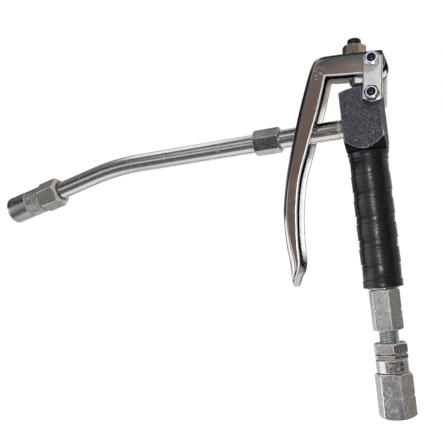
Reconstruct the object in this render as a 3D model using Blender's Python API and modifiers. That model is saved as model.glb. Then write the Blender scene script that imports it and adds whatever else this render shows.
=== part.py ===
"""Hose-fed grease control gun, as separate pieces.

A square valve head stands on a banded grip handle. A channel-section trigger lever hangs on two
links, and its adjusting screw presses the valve stem. A bent outlet tube carries a grease coupler,
and a hose swivel hangs below the handle.

Frame, in metres: Z runs up the handle, the outlet tube leaves along -X, and the origin is on the
handle's axis at the middle of the grip. The lever's links lie to the front (-Y) and back (+Y).
"""

import math

import bmesh
import bpy
from mathutils import Matrix, Vector

GAP = 0.0003
MERGE = 0.00001
SIDES = 28
SMALL_SIDES = 16
SHARP_ANGLE = math.radians(35)

# Valve head: a square bar with turned shoulders, and the bores along its axis
BAR_WIDTH = 0.0207
BAR_DEPTH = 0.0228
BAR_TURNED_RADIUS = 0.0153
BODY_TOP = 0.0697
BODY_TOP_FLAT_RADIUS = 0.0118
BODY_UPPER_SHOULDER = 0.0682
BODY_LOWER_SHOULDER = 0.0429
BODY_FOOT = 0.0376
BODY_FOOT_RADIUS = 0.01125
SPIGOT_RADIUS = 0.0066
SPIGOT_END = 0.0200
GLAND_POCKET_RADIUS = 0.0035
GLAND_POCKET_FLOOR = 0.0618
STEM_GUIDE_RADIUS = 0.0021
CHAMBER_RADIUS = 0.0030
CHAMBER_TOP = 0.0570
SEAT_POCKET_RADIUS = 0.0042
SEAT_POCKET_TOP = 0.0456

# Valve stem, gland, seat, ball and spring
STEM_RADIUS = 0.00175
STEM_TIP = 0.0433
STEM_TOP = 0.0802
GLAND_ACROSS = 0.0095
GLAND_TURN = math.radians(9)
GLAND_TOP = 0.0770
GLAND_HEX_FOOT = 0.0732
GLAND_SHANK_END = 0.0662
GLAND_COLLAR_RADIUS = 0.0046
SEAT_TOP = 0.0453
SEAT_FOOT = 0.0422
SEAT_HOLE_RADIUS = 0.0022
BALL_RADIUS = 0.00275
BALL_HEIGHT = 0.0402
VALVE_SPRING_RADIUS = 0.0026
VALVE_SPRING_WIRE = 0.0004
VALVE_SPRING_TURNS = 6
VALVE_SPRING_FOOT = 0.0248
VALVE_SPRING_TOP = 0.0367
RETAINER_TOP = 0.0240
RETAINER_HOLE_RADIUS = 0.0016

# Handle tube and grip sleeve
HANDLE_RADIUS = 0.0080
HANDLE_TOP = BODY_FOOT - GAP
HANDLE_END = -0.0344
HANDLE_BORE_RADIUS = 0.0040
HANDLE_LOWER_SOCKET_RADIUS = 0.0053
HANDLE_LOWER_SOCKET_TOP = -0.0207
GRIP_TOP = HANDLE_TOP
GRIP_END = -0.0337
GRIP_RAISED_RADIUS = 0.0102
GRIP_RECESS_RADIUS = 0.00985
GRIP_FLARE_RADIUS = 0.0109
GRIP_FLARE_END = 0.0348
GRIP_COLLAR_END = 0.0326
GRIP_BAND_TOP = 0.0249
GRIP_BAND_PITCH = 0.01272
GRIP_BAND_HEIGHT = 0.0083
GRIP_BANDS = 4
GRIP_STEP = 0.0004
GRIP_END_RING_TOP = -0.0297
GRIP_LIP = 0.0005

# Inlet adapter: hexagon, threaded nipple and spigot
ADAPTER_ACROSS = 0.01429
ADAPTER_TURN = math.radians(-10.4)
ADAPTER_TOP = HANDLE_END - GAP
ADAPTER_END = -0.0557
ADAPTER_SPIGOT_RADIUS = 0.0050
ADAPTER_SPIGOT_TOP = -0.0212
NIPPLE_RADIUS = 0.0052
NIPPLE_END = -0.0728
THREAD_PITCH = 0.0010
THREAD_DEPTH = 0.0005
FLOW_RADIUS = 0.0024

# Hose swivel
LOCKNUT_ACROSS = 0.01588
LOCKNUT_TURN = math.radians(-15.4)
LOCKNUT_TOP = -0.0621
LOCKNUT_END = -0.0675
FLANGE_ACROSS = 0.0156
FLANGE_TOP = LOCKNUT_END - GAP
FLANGE_END = -0.0700
COLLAR_RADIUS = 0.00825
COLLAR_TOP = FLANGE_END - GAP
COLLAR_END = -0.0769
SPINDLE_RADIUS = 0.0048
SPINDLE_END = -0.0912
ORING_HEIGHT = -0.0829
ORING_RADIUS = 0.00445
ORING_WIRE = 0.0005
CLIP_TOP = -0.0871
CLIP_END = -0.0880
CLIP_INNER_RADIUS = 0.0044
CLIP_OUTER_RADIUS = 0.0059
SWIVEL_ACROSS = 0.0170
SWIVEL_TURN = math.radians(-5.4)
SWIVEL_TOP = COLLAR_END - GAP
SWIVEL_END = -0.0998
SWIVEL_BORE_RADIUS = 0.0051
SWIVEL_SHOULDER = -0.0868
HOSE_THREAD_RADIUS = 0.0062

# Outlet: distances along -X from the handle's axis, at the outlet's height
OUTLET_HEIGHT = 0.0514
PIPE_RADIUS = 0.0052
PIPE_BORE_RADIUS = 0.0024
NECK_START = BAR_WIDTH / 2 + GAP
NECK_END = 0.0534
NECK_SPIGOT_RADIUS = 0.0044
NECK_SPIGOT_START = 0.0046
NECK_GROOVE = 0.0130
NECK_GROOVE_WIDTH = 0.0009
COUPLING_ACROSS = 0.0127
COUPLING_TURN = math.radians(-18.5)
COUPLING_START = 0.0458
COUPLING_END = 0.0608
TUBE_START = 0.0540
BEND_APEX = 0.1486
BEND_ANGLE = math.radians(13)
BEND_TANGENT = 0.0155
COUPLER_START = 0.0415

# Grease coupler: distances along its axis from its rear face; COUPLER_START is from the bend's apex
COUPLER_HEX_ACROSS = 0.0160
COUPLER_HEX_TURN = math.radians(-14)
COUPLER_HEX_END = 0.0135
COUPLER_HEX_CHAMFER = 0.0013
COUPLER_SPIGOT_RADIUS = 0.0064
COUPLER_SPIGOT_END = 0.0190
SPRING_GUIDE_RADIUS = 0.0036
SPRING_GUIDE_END = 0.0215
COUPLER_SOCKET_END = 0.0108
COUPLER_RADIUS = 0.0082
COUPLER_END = 0.0368
COUPLER_BORE_RADIUS = 0.0067
COUPLER_TAPER_START = 0.0318
COUPLER_MOUTH_RADIUS = 0.0052
PLUNGER_START = 0.0268
PLUNGER_END = 0.0286
SEAL_END = 0.0300
SEAL_RADIUS = 0.0052
JAW_START = 0.0303
JAW_END = 0.0364
JAW_INNER_RADIUS = 0.0037
JAW_COUNT = 4
JAW_ANGLE = math.radians(76)
COUPLER_SPRING_RADIUS = 0.0046
COUPLER_SPRING_WIRE = 0.00045
COUPLER_SPRING_TURNS = 3
COUPLER_SPRING_START = 0.0212
COUPLER_SPRING_END = 0.0260

# Links and their pivots, as (x, z)
LOWER_PIVOT = (0.0069, 0.0645)
UPPER_PIVOT = (0.0089, 0.0818)
LINK_WIDTH = 0.0099
LINK_END_ARC = 0.0070
LINK_END_REACH = 0.0040
LINK_INNER = 0.0103
LINK_THICKNESS = 0.0022
RECESS_LEFT = 0.0011
RECESS_FLOOR = 0.0581
RECESS_DEPTH_PLANE = LINK_INNER - GAP
RECESS_CORNER = 0.0050
BOLT_RADIUS = 0.0020
BOLT_HOLE_RADIUS = 0.0023
BOLT_HEAD_RADIUS = 0.0035
BOLT_HEAD_HEIGHT = 0.0026
NUT_ACROSS = 0.0070
NUT_TURNS = {"lower": math.radians(12), "upper": math.radians(28)}
NUT_HEX_HEIGHT = 0.0032
NUT_HEIGHT = 0.0046
NUT_COLLAR_RADIUS = 0.0031
INSERT_OUTER_RADIUS = 0.0026
INSERT_INNER_RADIUS = 0.0021
INSERT_HEIGHT = 0.0010

# Trigger lever, a channel: edges as (x, z) in the plane of its walls
LEVER_HALF_WIDTH = 0.0100
LEVER_WALL = 0.0022
LEVER_WEB = 0.0020
ARM_END_RADIUS = 0.0059
LEVER_OUTER_EDGE = [
    (0.0133, 0.0870), (-0.0126, 0.0894), (-0.0186, 0.0897), (-0.0224, 0.0877), (-0.0269, 0.0779),
    (-0.0316, 0.0657), (-0.0398, 0.0410), (-0.0446, 0.0222), (-0.0470, 0.0063), (-0.0471, -0.0066),
    (-0.0462, -0.0195), (-0.0460, -0.0259),
]
LEVER_TIP = [(-0.0459, -0.0283), (-0.0455, -0.0299), (-0.0446, -0.0286), (-0.0443, -0.0265),
             (-0.0434, -0.0245)]
LEVER_INNER_EDGE = [
    (-0.0415, -0.0215), (-0.0404, -0.0160), (-0.0404, -0.0050), (-0.0390, 0.0117),
    (-0.0356, 0.0282), (-0.0294, 0.0443), (-0.0221, 0.0623), (-0.0179, 0.0728),
    (-0.0160, 0.0773), (-0.0137, 0.0781), (0.0080, 0.0760),
]
EDGE_STEPS = 3
CHANNEL_END = -0.0195
CHANNEL_CLEAR_X = 0.0300
TONGUE_START = -0.0200
TONGUE_LENGTH = 0.0110
WEB_SLOT_FOOT = 0.0440
WEB_SLOT_TOP = 0.0715
WEB_SLOT_WIDTH = 0.0116
WEB_SLOT_LEFT = -0.0500
WEB_SLOT_RIGHT = -0.0200

# Adjusting screw: square to the lever's arm, through (x, z) at its nut's middle
SCREW_POINT = (-0.0011, 0.0919)
SCREW_TILT = math.radians(5.2)
SCREW_RADIUS = 0.00318
SCREW_TOP = 0.0070
SCREW_FOOT = -0.0113
SCREW_DOME = 0.0020
SCREW_END_RADIUS = 0.0036
SCREW_END_FOOT = 0.0034
SCREW_HOLE_RADIUS = 0.0035
SCREW_NUT_ACROSS = 0.0111
SCREW_NUT_TURN = math.radians(-0.4)
SCREW_NUT_FOOT = -0.0029
SCREW_NUT_TOP = 0.0028

LOOKS = {
    "black_steel": ((0.045, 0.045, 0.050), 0.55, 0.6),
    "black_rubber": ((0.020, 0.021, 0.024), 0.45, 0.0),
    "chrome": ((0.62, 0.60, 0.59), 0.08, 1.0),
    "zinc": ((0.60, 0.60, 0.58), 0.38, 1.0),
    "bright_tube": ((0.66, 0.65, 0.63), 0.18, 1.0),
    "turned_steel": ((0.36, 0.36, 0.35), 0.35, 1.0),
    "blue_nylon": ((0.030, 0.025, 0.12), 0.40, 0.0),
    "brass": ((0.55, 0.42, 0.20), 0.35, 1.0),
    "seal_rubber": ((0.035, 0.030, 0.028), 0.60, 0.0),
    "spring_steel": ((0.40, 0.40, 0.41), 0.30, 1.0),
}


def clear_scene():
    for obj in list(bpy.data.objects):
        bpy.data.objects.remove(obj, do_unlink=True)


def new_collection(name):
    collection = bpy.data.collections.new(name)
    bpy.context.scene.collection.children.link(collection)
    return collection


def look_material(look):
    """The Principled material of a named look, made on first use."""
    if look in bpy.data.materials:
        return bpy.data.materials[look]
    colour, roughness, metallic = LOOKS[look]
    material = bpy.data.materials.new(look)
    material.use_nodes = True
    shader = material.node_tree.nodes["Principled BSDF"]
    shader.inputs["Base Color"].default_value = (*colour, 1.0)
    shader.inputs["Roughness"].default_value = roughness
    shader.inputs["Metallic"].default_value = metallic
    return material


def new_object(name, mesh, frame=None):
    """A mesh object in the cutters, until settle() makes it a part; a frame's axes are its own."""
    obj = bpy.data.objects.new(name, mesh)
    CUTTERS.objects.link(obj)
    obj.hide_render = True
    obj.display_type = "WIRE"
    obj.parent = frame
    return obj


def turned(name, profile, sides=SIDES, frame=None):
    """A turned solid: (radius, height) pairs down the outside; a bore's points then run back up."""
    hollow = profile[0][0] > 0.0
    count = len(profile)
    edges = [(i, i + 1) for i in range(count - 1)]
    if hollow:
        edges.append((count - 1, 0))
    mesh = bpy.data.meshes.new(name)
    mesh.from_pydata([(radius, 0.0, height) for radius, height in profile], edges, [])
    obj = new_object(name, mesh, frame)
    screw = obj.modifiers.new("Turn", "SCREW")
    screw.steps = sides
    screw.render_steps = sides
    screw.use_merge_vertices = True
    screw.merge_threshold = MERGE
    return obj


def cylinder(name, radius, start, end, sides=SIDES, frame=None):
    """A plain round bar along the frame's Z axis."""
    return turned(name, [(0, end), (radius, end), (radius, start), (0, start)], sides, frame)


def ring_profile(outer, inner, top, foot):
    return [(outer, top), (outer, foot), (inner, foot), (inner, top)]


def boolean(obj, tool, operation):
    modifier = obj.modifiers.new(tool.name, "BOOLEAN")
    modifier.operation = operation
    modifier.object = tool
    return obj


def hexagon(name, across, foot, top, turn, chamfer_foot=0.0, chamfer_top=0.0, nick=None, frame=None):
    """A hexagon bar along Z, its ends turned to a chamfer; turn is a flat's angle from -Y to +X."""
    corner = across / math.sqrt(3)
    body = bmesh.new()
    bmesh.ops.create_cone(body, cap_ends=True, segments=6, radius1=corner, radius2=corner,
                          depth=top - foot)
    bmesh.ops.rotate(body, verts=body.verts, matrix=Matrix.Rotation(math.radians(30) + turn, 3, "Z"))
    bmesh.ops.translate(body, verts=body.verts, vec=(0, 0, (top + foot) / 2))
    mesh = bpy.data.meshes.new(name)
    body.to_mesh(mesh)
    body.free()
    obj = new_object(name, mesh, frame)
    outside = corner + GAP
    flat = across / 2
    past = GAP
    profile = [(0, top + past), (flat - chamfer_top, top + past)]
    profile.append((outside, top - (outside - flat + chamfer_top) * math.tan(math.radians(30))))
    if nick is not None:
        profile += [(outside, nick + GAP * 2), (corner - GAP * 1.5, nick), (outside, nick - GAP * 2)]
    profile.append((outside, foot + (outside - flat + chamfer_foot) * math.tan(math.radians(30))))
    profile += [(flat - chamfer_foot, foot - past), (0, foot - past)]
    envelope = turned(name + "_chamfer", profile, SIDES, frame)
    return boolean(obj, envelope, "INTERSECT")


def mesh_from_curve(curve_object):
    """A welded mesh object in a curve object's place; the curve goes away."""
    bpy.context.view_layer.update()
    depsgraph = bpy.context.evaluated_depsgraph_get()
    mesh = bpy.data.meshes.new_from_object(curve_object.evaluated_get(depsgraph))
    weld(mesh)
    name = curve_object.name
    matrix = curve_object.matrix_world.copy()
    bpy.data.objects.remove(curve_object, do_unlink=True)
    obj = new_object(name, mesh)
    obj.matrix_world = matrix
    return obj


def weld(mesh):
    shape = bmesh.new()
    shape.from_mesh(mesh)
    bmesh.ops.remove_doubles(shape, verts=shape.verts, dist=MERGE / 10)
    shape.to_mesh(mesh)
    shape.free()


def poly_curve(name, loops, cyclic):
    """A curve object of straight-sided splines through each loop's points."""
    curve = bpy.data.curves.new(name, "CURVE")
    for points in loops:
        spline = curve.splines.new("POLY")
        spline.points.add(len(points) - 1)
        for point, place in zip(spline.points, points):
            point.co = (*place, 1.0)
        spline.use_cyclic_u = cyclic
    obj = bpy.data.objects.new(name, curve)
    CUTTERS.objects.link(obj)
    return obj


def plate(name, loops, front, back, turn=0.0):
    """A flat plate: its outline in XZ, any holes as further loops, its Y faces, and a turn about Z."""
    obj = poly_curve(name, [[(x, z, 0.0) for x, z in loop] for loop in loops], cyclic=True)
    obj.data.dimensions = "2D"
    obj.data.fill_mode = "BOTH"
    obj.data.extrude = (back - front) / 2
    obj.rotation_euler = (math.pi / 2, 0, turn)
    obj.location = Matrix.Rotation(turn, 3, "Z") @ Vector((0, (back + front) / 2, 0))
    return mesh_from_curve(obj)


def tube_along(name, points, radius, resolution, frame=None):
    """A round bar along points, with flat ends."""
    obj = poly_curve(name, [points], cyclic=False)
    obj.data.dimensions = "3D"
    obj.data.bevel_depth = radius
    obj.data.bevel_resolution = resolution
    obj.data.use_fill_caps = True
    solid = mesh_from_curve(obj)
    solid.parent = frame
    return solid


def circle(centre, radius, sides=SMALL_SIDES):
    angles = [2 * math.pi * i / sides for i in range(sides)]
    return [(centre[0] + radius * math.cos(a), centre[1] + radius * math.sin(a)) for a in angles]


def smooth_edge(points, steps=EDGE_STEPS):
    """Points of a smooth curve through the given ones."""
    guides = [Vector(p) for p in points]
    guides = [2 * guides[0] - guides[1]] + guides + [2 * guides[-1] - guides[-2]]
    path = []
    for a, b, c, d in zip(guides, guides[1:], guides[2:], guides[3:]):
        for step in range(steps):
            t = step / steps
            path.append(0.5 * (2 * b + (c - a) * t + (2 * a - 5 * b + 4 * c - d) * t ** 2
                               + (3 * b - a - 3 * c + d) * t ** 3))
    path.append(guides[-2])
    return path


def offset_path(path, distance):
    """The same open path, moved to its left by a distance."""
    moved = []
    for i, point in enumerate(path):
        along = (path[min(i + 1, len(path) - 1)] - path[max(i - 1, 0)]).normalized()
        moved.append(point + distance * Vector((-along.y, along.x)))
    return moved


def least_gap(points, wire_radius, points_per_turn):
    """The smallest clear distance between turns of a wound wire."""
    apart = points_per_turn // 2
    nearest = min((a - b).length for i, a in enumerate(points) for b in points[i + apart:])
    return nearest - 2 * wire_radius


def helix(name, radius, wire, turns, start, end, frame=None):
    """A wound spring along Z; prints its least gap."""
    per_turn = 10
    count = turns * per_turn
    points = []
    for i in range(count + 1):
        angle = 2 * math.pi * i / per_turn
        height = start + (end - start) * i / count
        points.append(Vector((radius * math.cos(angle), radius * math.sin(angle), height)))
    print(name, "least gap between turns, mm:", round(1000 * least_gap(points, wire, per_turn), 2))
    return tube_along(name, points, wire, 1, frame)


def settle(obj, look, pivot=None):
    """Make a shape one of the parts: apply its modifiers, shade it and hang it on its pivot."""
    bpy.context.view_layer.update()
    depsgraph = bpy.context.evaluated_depsgraph_get()
    mesh = bpy.data.meshes.new_from_object(obj.evaluated_get(depsgraph))
    weld(mesh)
    mesh.shade_smooth()
    mesh.set_sharp_from_angle(angle=SHARP_ANGLE)
    mesh.materials.clear()
    mesh.materials.append(look_material(look))
    mesh.name = obj.name
    obj.modifiers.clear()
    obj.data = mesh
    obj.hide_render = False
    obj.display_type = "TEXTURED"
    CUTTERS.objects.unlink(obj)
    PARTS.objects.link(obj)
    if pivot is not None:
        obj.parent = pivot
        obj.matrix_parent_inverse = Matrix.Translation(-pivot.location)
    return obj


def pivot_empty(name, place, tilt=0.0):
    empty = bpy.data.objects.new(name, None)
    empty.location = place
    empty.rotation_euler = (0, tilt, 0)
    empty.empty_display_size = 0.01
    PARTS.objects.link(empty)
    return empty


def across_y(centre):
    """A frame whose Z axis runs along +Y through an (x, z) point."""
    empty = pivot_empty("pin_frame", (centre[0], 0, centre[1]))
    empty.rotation_euler = (-math.pi / 2, 0, 0)
    return empty


def make_valve_body():
    body = turned("valve_body", [
        (0, BODY_TOP), (BODY_TOP_FLAT_RADIUS, BODY_TOP), (BAR_TURNED_RADIUS, BODY_UPPER_SHOULDER),
        (BAR_TURNED_RADIUS, BODY_LOWER_SHOULDER), (BODY_FOOT_RADIUS, BODY_FOOT),
        (SPIGOT_RADIUS, BODY_FOOT), (SPIGOT_RADIUS, SPIGOT_END), (0, SPIGOT_END)], sides=48)
    bar = bmesh.new()
    bmesh.ops.create_cube(bar, size=1.0)
    bmesh.ops.scale(bar, verts=bar.verts, vec=(BAR_WIDTH, BAR_DEPTH, BODY_TOP * 2))
    mesh = bpy.data.meshes.new("bar")
    bar.to_mesh(mesh)
    bar.free()
    boolean(body, new_object("valve_body_bar", mesh), "INTERSECT")
    past = 2 * GAP
    bore = turned("valve_body_bore", [
        (0, BODY_TOP + past), (GLAND_POCKET_RADIUS, BODY_TOP + past),
        (GLAND_POCKET_RADIUS, GLAND_POCKET_FLOOR), (STEM_GUIDE_RADIUS, GLAND_POCKET_FLOOR),
        (STEM_GUIDE_RADIUS, CHAMBER_TOP), (CHAMBER_RADIUS, CHAMBER_TOP),
        (CHAMBER_RADIUS, SEAT_POCKET_TOP), (SEAT_POCKET_RADIUS, SEAT_POCKET_TOP),
        (SEAT_POCKET_RADIUS, SPIGOT_END - past), (0, SPIGOT_END - past)], SMALL_SIDES)
    boolean(body, bore, "DIFFERENCE")
    socket_end = BAR_WIDTH / 2 + past
    socket = NECK_SPIGOT_RADIUS + GAP
    socket_floor = NECK_SPIGOT_START - GAP
    outlet = turned("valve_body_outlet", [
        (0, socket_end), (socket, socket_end), (socket, socket_floor), (PIPE_BORE_RADIUS, socket_floor),
        (PIPE_BORE_RADIUS, STEM_RADIUS), (0, STEM_RADIUS)], SMALL_SIDES, OUTLET_FRAME)
    boolean(body, outlet, "DIFFERENCE")
    pin = cylinder("valve_body_pin", BOLT_HOLE_RADIUS, -BAR_DEPTH, BAR_DEPTH, SMALL_SIDES,
                   across_y(LOWER_PIVOT))
    boolean(body, pin, "DIFFERENCE")
    for side, face in (("front", -1), ("back", 1)):
        boolean(body, link_recess(side, face), "DIFFERENCE")
    settle(body, "black_steel")


def link_recess(side, face):
    """The milled step that a link swings in, open to the right and to the top."""
    right = BAR_WIDTH
    top = BODY_TOP + BAR_WIDTH / 2
    corner = (RECESS_LEFT + RECESS_CORNER, RECESS_FLOOR + RECESS_CORNER)
    steps = 6
    arc = [math.pi + math.pi / 2 * i / steps for i in range(steps + 1)]
    outline = [(corner[0] + RECESS_CORNER * math.cos(a), corner[1] + RECESS_CORNER * math.sin(a))
               for a in arc]
    outline += [(right, RECESS_FLOOR), (right, top), (RECESS_LEFT, top)]
    faces = sorted((face * RECESS_DEPTH_PLANE, face * BAR_DEPTH))
    return plate("valve_body_recess_" + side, [outline], *faces)


def make_valve_train():
    """Gland, packing, stem, seat, ball, spring and its retainer, top to bottom."""
    bore = STEM_RADIUS + GAP
    shank = GLAND_POCKET_RADIUS - GAP
    gland = hexagon("gland_nut", GLAND_ACROSS, GLAND_HEX_FOOT, GLAND_TOP, GLAND_TURN, chamfer_top=GAP)
    screwed = cylinder("gland_nut_shank", shank, GLAND_SHANK_END, GLAND_TOP - GAP, SMALL_SIDES)
    boolean(gland, screwed, "UNION")
    hole = cylinder("gland_nut_bore", bore, GLAND_SHANK_END - GAP, GLAND_TOP + GAP, SMALL_SIDES)
    boolean(gland, hole, "DIFFERENCE")
    settle(gland, "zinc")
    collar = turned("gland_collar", ring_profile(
        GLAND_COLLAR_RADIUS, GLAND_POCKET_RADIUS, GLAND_HEX_FOOT - GAP, BODY_TOP + GAP), SMALL_SIDES)
    settle(collar, "black_steel")
    packing = turned("stem_packing", ring_profile(
        shank, bore, GLAND_SHANK_END - GAP, GLAND_POCKET_FLOOR + GAP), SMALL_SIDES)
    settle(packing, "seal_rubber")

    rim = STEM_RADIUS - GAP
    stem = turned("valve_stem", [
        (0, STEM_TOP), (rim, STEM_TOP), (STEM_RADIUS, STEM_TOP - GAP), (STEM_RADIUS, STEM_TIP),
        (0, STEM_TIP)], SMALL_SIDES)
    settle(stem, "zinc", STEM_PIVOT)

    plug = SEAT_POCKET_RADIUS - GAP
    seat = turned("valve_seat", ring_profile(plug, SEAT_HOLE_RADIUS, SEAT_TOP, SEAT_FOOT), SMALL_SIDES)
    settle(seat, "brass")

    sphere = bmesh.new()
    bmesh.ops.create_uvsphere(sphere, u_segments=16, v_segments=10, radius=BALL_RADIUS)
    bmesh.ops.translate(sphere, verts=sphere.verts, vec=(0, 0, BALL_HEIGHT))
    mesh = bpy.data.meshes.new("valve_ball")
    sphere.to_mesh(mesh)
    sphere.free()
    settle(new_object("valve_ball", mesh), "spring_steel", STEM_PIVOT)

    spring = helix("valve_spring", VALVE_SPRING_RADIUS, VALVE_SPRING_WIRE, VALVE_SPRING_TURNS,
                   VALVE_SPRING_FOOT, VALVE_SPRING_TOP)
    settle(spring, "spring_steel")
    retainer = turned("spring_retainer", ring_profile(
        plug, RETAINER_HOLE_RADIUS, RETAINER_TOP, SPIGOT_END + GAP), SMALL_SIDES)
    settle(retainer, "brass")


def make_handle():
    socket = SPIGOT_RADIUS + GAP
    socket_floor = SPIGOT_END - GAP
    tube = turned("handle_tube", [
        (HANDLE_RADIUS, HANDLE_TOP), (HANDLE_RADIUS, HANDLE_END),
        (HANDLE_LOWER_SOCKET_RADIUS, HANDLE_END),
        (HANDLE_LOWER_SOCKET_RADIUS, HANDLE_LOWER_SOCKET_TOP),
        (HANDLE_BORE_RADIUS, HANDLE_LOWER_SOCKET_TOP), (HANDLE_BORE_RADIUS, socket_floor),
        (socket, socket_floor), (socket, HANDLE_TOP)])
    settle(tube, "turned_steel")

    profile = [(GRIP_FLARE_RADIUS, GRIP_TOP), (GRIP_RAISED_RADIUS, GRIP_FLARE_END),
               (GRIP_RAISED_RADIUS, GRIP_COLLAR_END), (GRIP_RECESS_RADIUS, GRIP_COLLAR_END - GRIP_STEP)]
    for band in range(GRIP_BANDS):
        top = GRIP_BAND_TOP - band * GRIP_BAND_PITCH
        foot = top - GRIP_BAND_HEIGHT
        profile += [(GRIP_RECESS_RADIUS, top + GRIP_STEP), (GRIP_RAISED_RADIUS, top),
                    (GRIP_RAISED_RADIUS, foot), (GRIP_RECESS_RADIUS, foot - GRIP_STEP)]
    inside = HANDLE_RADIUS + GAP
    profile += [(GRIP_RECESS_RADIUS, GRIP_END_RING_TOP + GRIP_STEP),
                (GRIP_RAISED_RADIUS, GRIP_END_RING_TOP), (GRIP_RAISED_RADIUS, GRIP_END + GRIP_LIP),
                (GRIP_RAISED_RADIUS - GRIP_LIP, GRIP_END), (inside, GRIP_END), (inside, GRIP_TOP)]
    settle(turned("grip_sleeve", profile), "black_rubber")


def make_inlet_adapter():
    adapter = hexagon("inlet_adapter", ADAPTER_ACROSS, ADAPTER_END, ADAPTER_TOP, ADAPTER_TURN,
                      nick=(ADAPTER_TOP + ADAPTER_END) / 2)
    profile = [(0, ADAPTER_SPIGOT_TOP), (ADAPTER_SPIGOT_RADIUS, ADAPTER_SPIGOT_TOP),
               (ADAPTER_SPIGOT_RADIUS, ADAPTER_END + THREAD_PITCH)]
    threads = int((ADAPTER_END - LOCKNUT_TOP) / THREAD_PITCH)
    for i in range(threads):
        top = ADAPTER_END - THREAD_PITCH * (i + 0.25)
        profile += [(NIPPLE_RADIUS, top), (NIPPLE_RADIUS - THREAD_DEPTH, top - THREAD_PITCH / 2)]
    profile += [(NIPPLE_RADIUS, LOCKNUT_TOP + GAP), (NIPPLE_RADIUS, NIPPLE_END), (0, NIPPLE_END)]
    boolean(adapter, turned("inlet_adapter_core", profile, 24), "UNION")
    past = GAP
    bore = cylinder("inlet_adapter_bore", FLOW_RADIUS, NIPPLE_END - past, ADAPTER_SPIGOT_TOP + past,
                    SMALL_SIDES)
    boolean(adapter, bore, "DIFFERENCE")
    settle(adapter, "zinc")


def make_hex_ring(name, across, foot, top, turn, hole, look, chamfer=0.0, frame=None, pivot=None):
    """A nut: a chamfered hexagon with a plain hole."""
    nut = hexagon(name, across, foot, top, turn, chamfer, chamfer, frame=frame)
    past = 2 * GAP
    boolean(nut, cylinder(name + "_hole", hole, foot - past, top + past, SMALL_SIDES, frame), "DIFFERENCE")
    return settle(nut, look, pivot)


def make_swivel():
    hole = NIPPLE_RADIUS + GAP
    make_hex_ring("swivel_locknut", LOCKNUT_ACROSS, LOCKNUT_END, LOCKNUT_TOP, LOCKNUT_TURN, hole, "zinc",
                  chamfer=GAP)
    make_hex_ring("swivel_flange", FLANGE_ACROSS, FLANGE_END, FLANGE_TOP, LOCKNUT_TURN, hole, "zinc")

    socket_floor = NIPPLE_END - GAP
    groove = ORING_RADIUS - ORING_WIRE - GAP
    seal_top = ORING_HEIGHT + ORING_WIRE + GAP
    seal_foot = ORING_HEIGHT - ORING_WIRE - GAP
    clip_groove = CLIP_INNER_RADIUS - GAP
    collar = turned("swivel_collar", [
        (COLLAR_RADIUS, COLLAR_TOP), (COLLAR_RADIUS, COLLAR_END), (SPINDLE_RADIUS, COLLAR_END),
        (SPINDLE_RADIUS, seal_top), (groove, seal_top), (groove, seal_foot), (SPINDLE_RADIUS, seal_foot),
        (SPINDLE_RADIUS, CLIP_TOP + GAP), (clip_groove, CLIP_TOP + GAP), (clip_groove, CLIP_END - GAP),
        (SPINDLE_RADIUS, CLIP_END - GAP), (SPINDLE_RADIUS, SPINDLE_END), (FLOW_RADIUS, SPINDLE_END),
        (FLOW_RADIUS, socket_floor), (hole, socket_floor), (hole, COLLAR_TOP)])
    settle(collar, "turned_steel")

    sides = 8
    seal = [(ORING_RADIUS + ORING_WIRE * math.cos(a), ORING_HEIGHT + ORING_WIRE * math.sin(a))
            for a in (math.pi / 2 - 2 * math.pi * i / sides for i in range(sides))]
    settle(turned("swivel_oring", seal, SMALL_SIDES), "seal_rubber")
    clip = ring_profile(CLIP_OUTER_RADIUS, CLIP_INNER_RADIUS, CLIP_TOP, CLIP_END)
    settle(turned("swivel_clip", clip, SMALL_SIDES), "spring_steel")

    nut = hexagon("swivel_nut", SWIVEL_ACROSS, SWIVEL_END, SWIVEL_TOP, SWIVEL_TURN,
                  chamfer_foot=3 * GAP, chamfer_top=GAP, nick=(SWIVEL_TOP + SWIVEL_END) / 2)
    past = 2 * GAP
    bore = turned("swivel_nut_bore", [
        (0, SWIVEL_TOP + past), (SWIVEL_BORE_RADIUS, SWIVEL_TOP + past),
        (SWIVEL_BORE_RADIUS, SWIVEL_SHOULDER), (HOSE_THREAD_RADIUS, SWIVEL_SHOULDER),
        (HOSE_THREAD_RADIUS, SWIVEL_END - past), (0, SWIVEL_END - past)])
    boolean(nut, bore, "DIFFERENCE")
    settle(nut, "zinc", SWIVEL_PIVOT)


def make_outlet():
    groove = PIPE_RADIUS - GAP
    neck = turned("outlet_neck", [
        (PIPE_RADIUS, NECK_END), (PIPE_RADIUS, NECK_GROOVE + NECK_GROOVE_WIDTH),
        (groove, NECK_GROOVE + NECK_GROOVE_WIDTH), (groove, NECK_GROOVE), (PIPE_RADIUS, NECK_GROOVE),
        (PIPE_RADIUS, NECK_START), (NECK_SPIGOT_RADIUS, NECK_START),
        (NECK_SPIGOT_RADIUS, NECK_SPIGOT_START), (PIPE_BORE_RADIUS, NECK_SPIGOT_START),
        (PIPE_BORE_RADIUS, NECK_END)], frame=OUTLET_FRAME)
    settle(neck, "bright_tube")
    make_hex_ring("coupling_nut", COUPLING_ACROSS, COUPLING_START, COUPLING_END, COUPLING_TURN,
                  PIPE_RADIUS + GAP, "zinc", frame=OUTLET_FRAME)
    route = tube_route()
    tube = tube_along("extension_tube", route, PIPE_RADIUS, 8)
    along_first = (route[0] - route[1]).normalized()
    along_last = (route[-1] - route[-2]).normalized()
    past = [route[0] + along_first * GAP] + route[1:-1] + [route[-1] + along_last * GAP]
    boolean(tube, tube_along("extension_tube_bore", past, PIPE_BORE_RADIUS, 2), "DIFFERENCE")
    settle(tube, "bright_tube")


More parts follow.
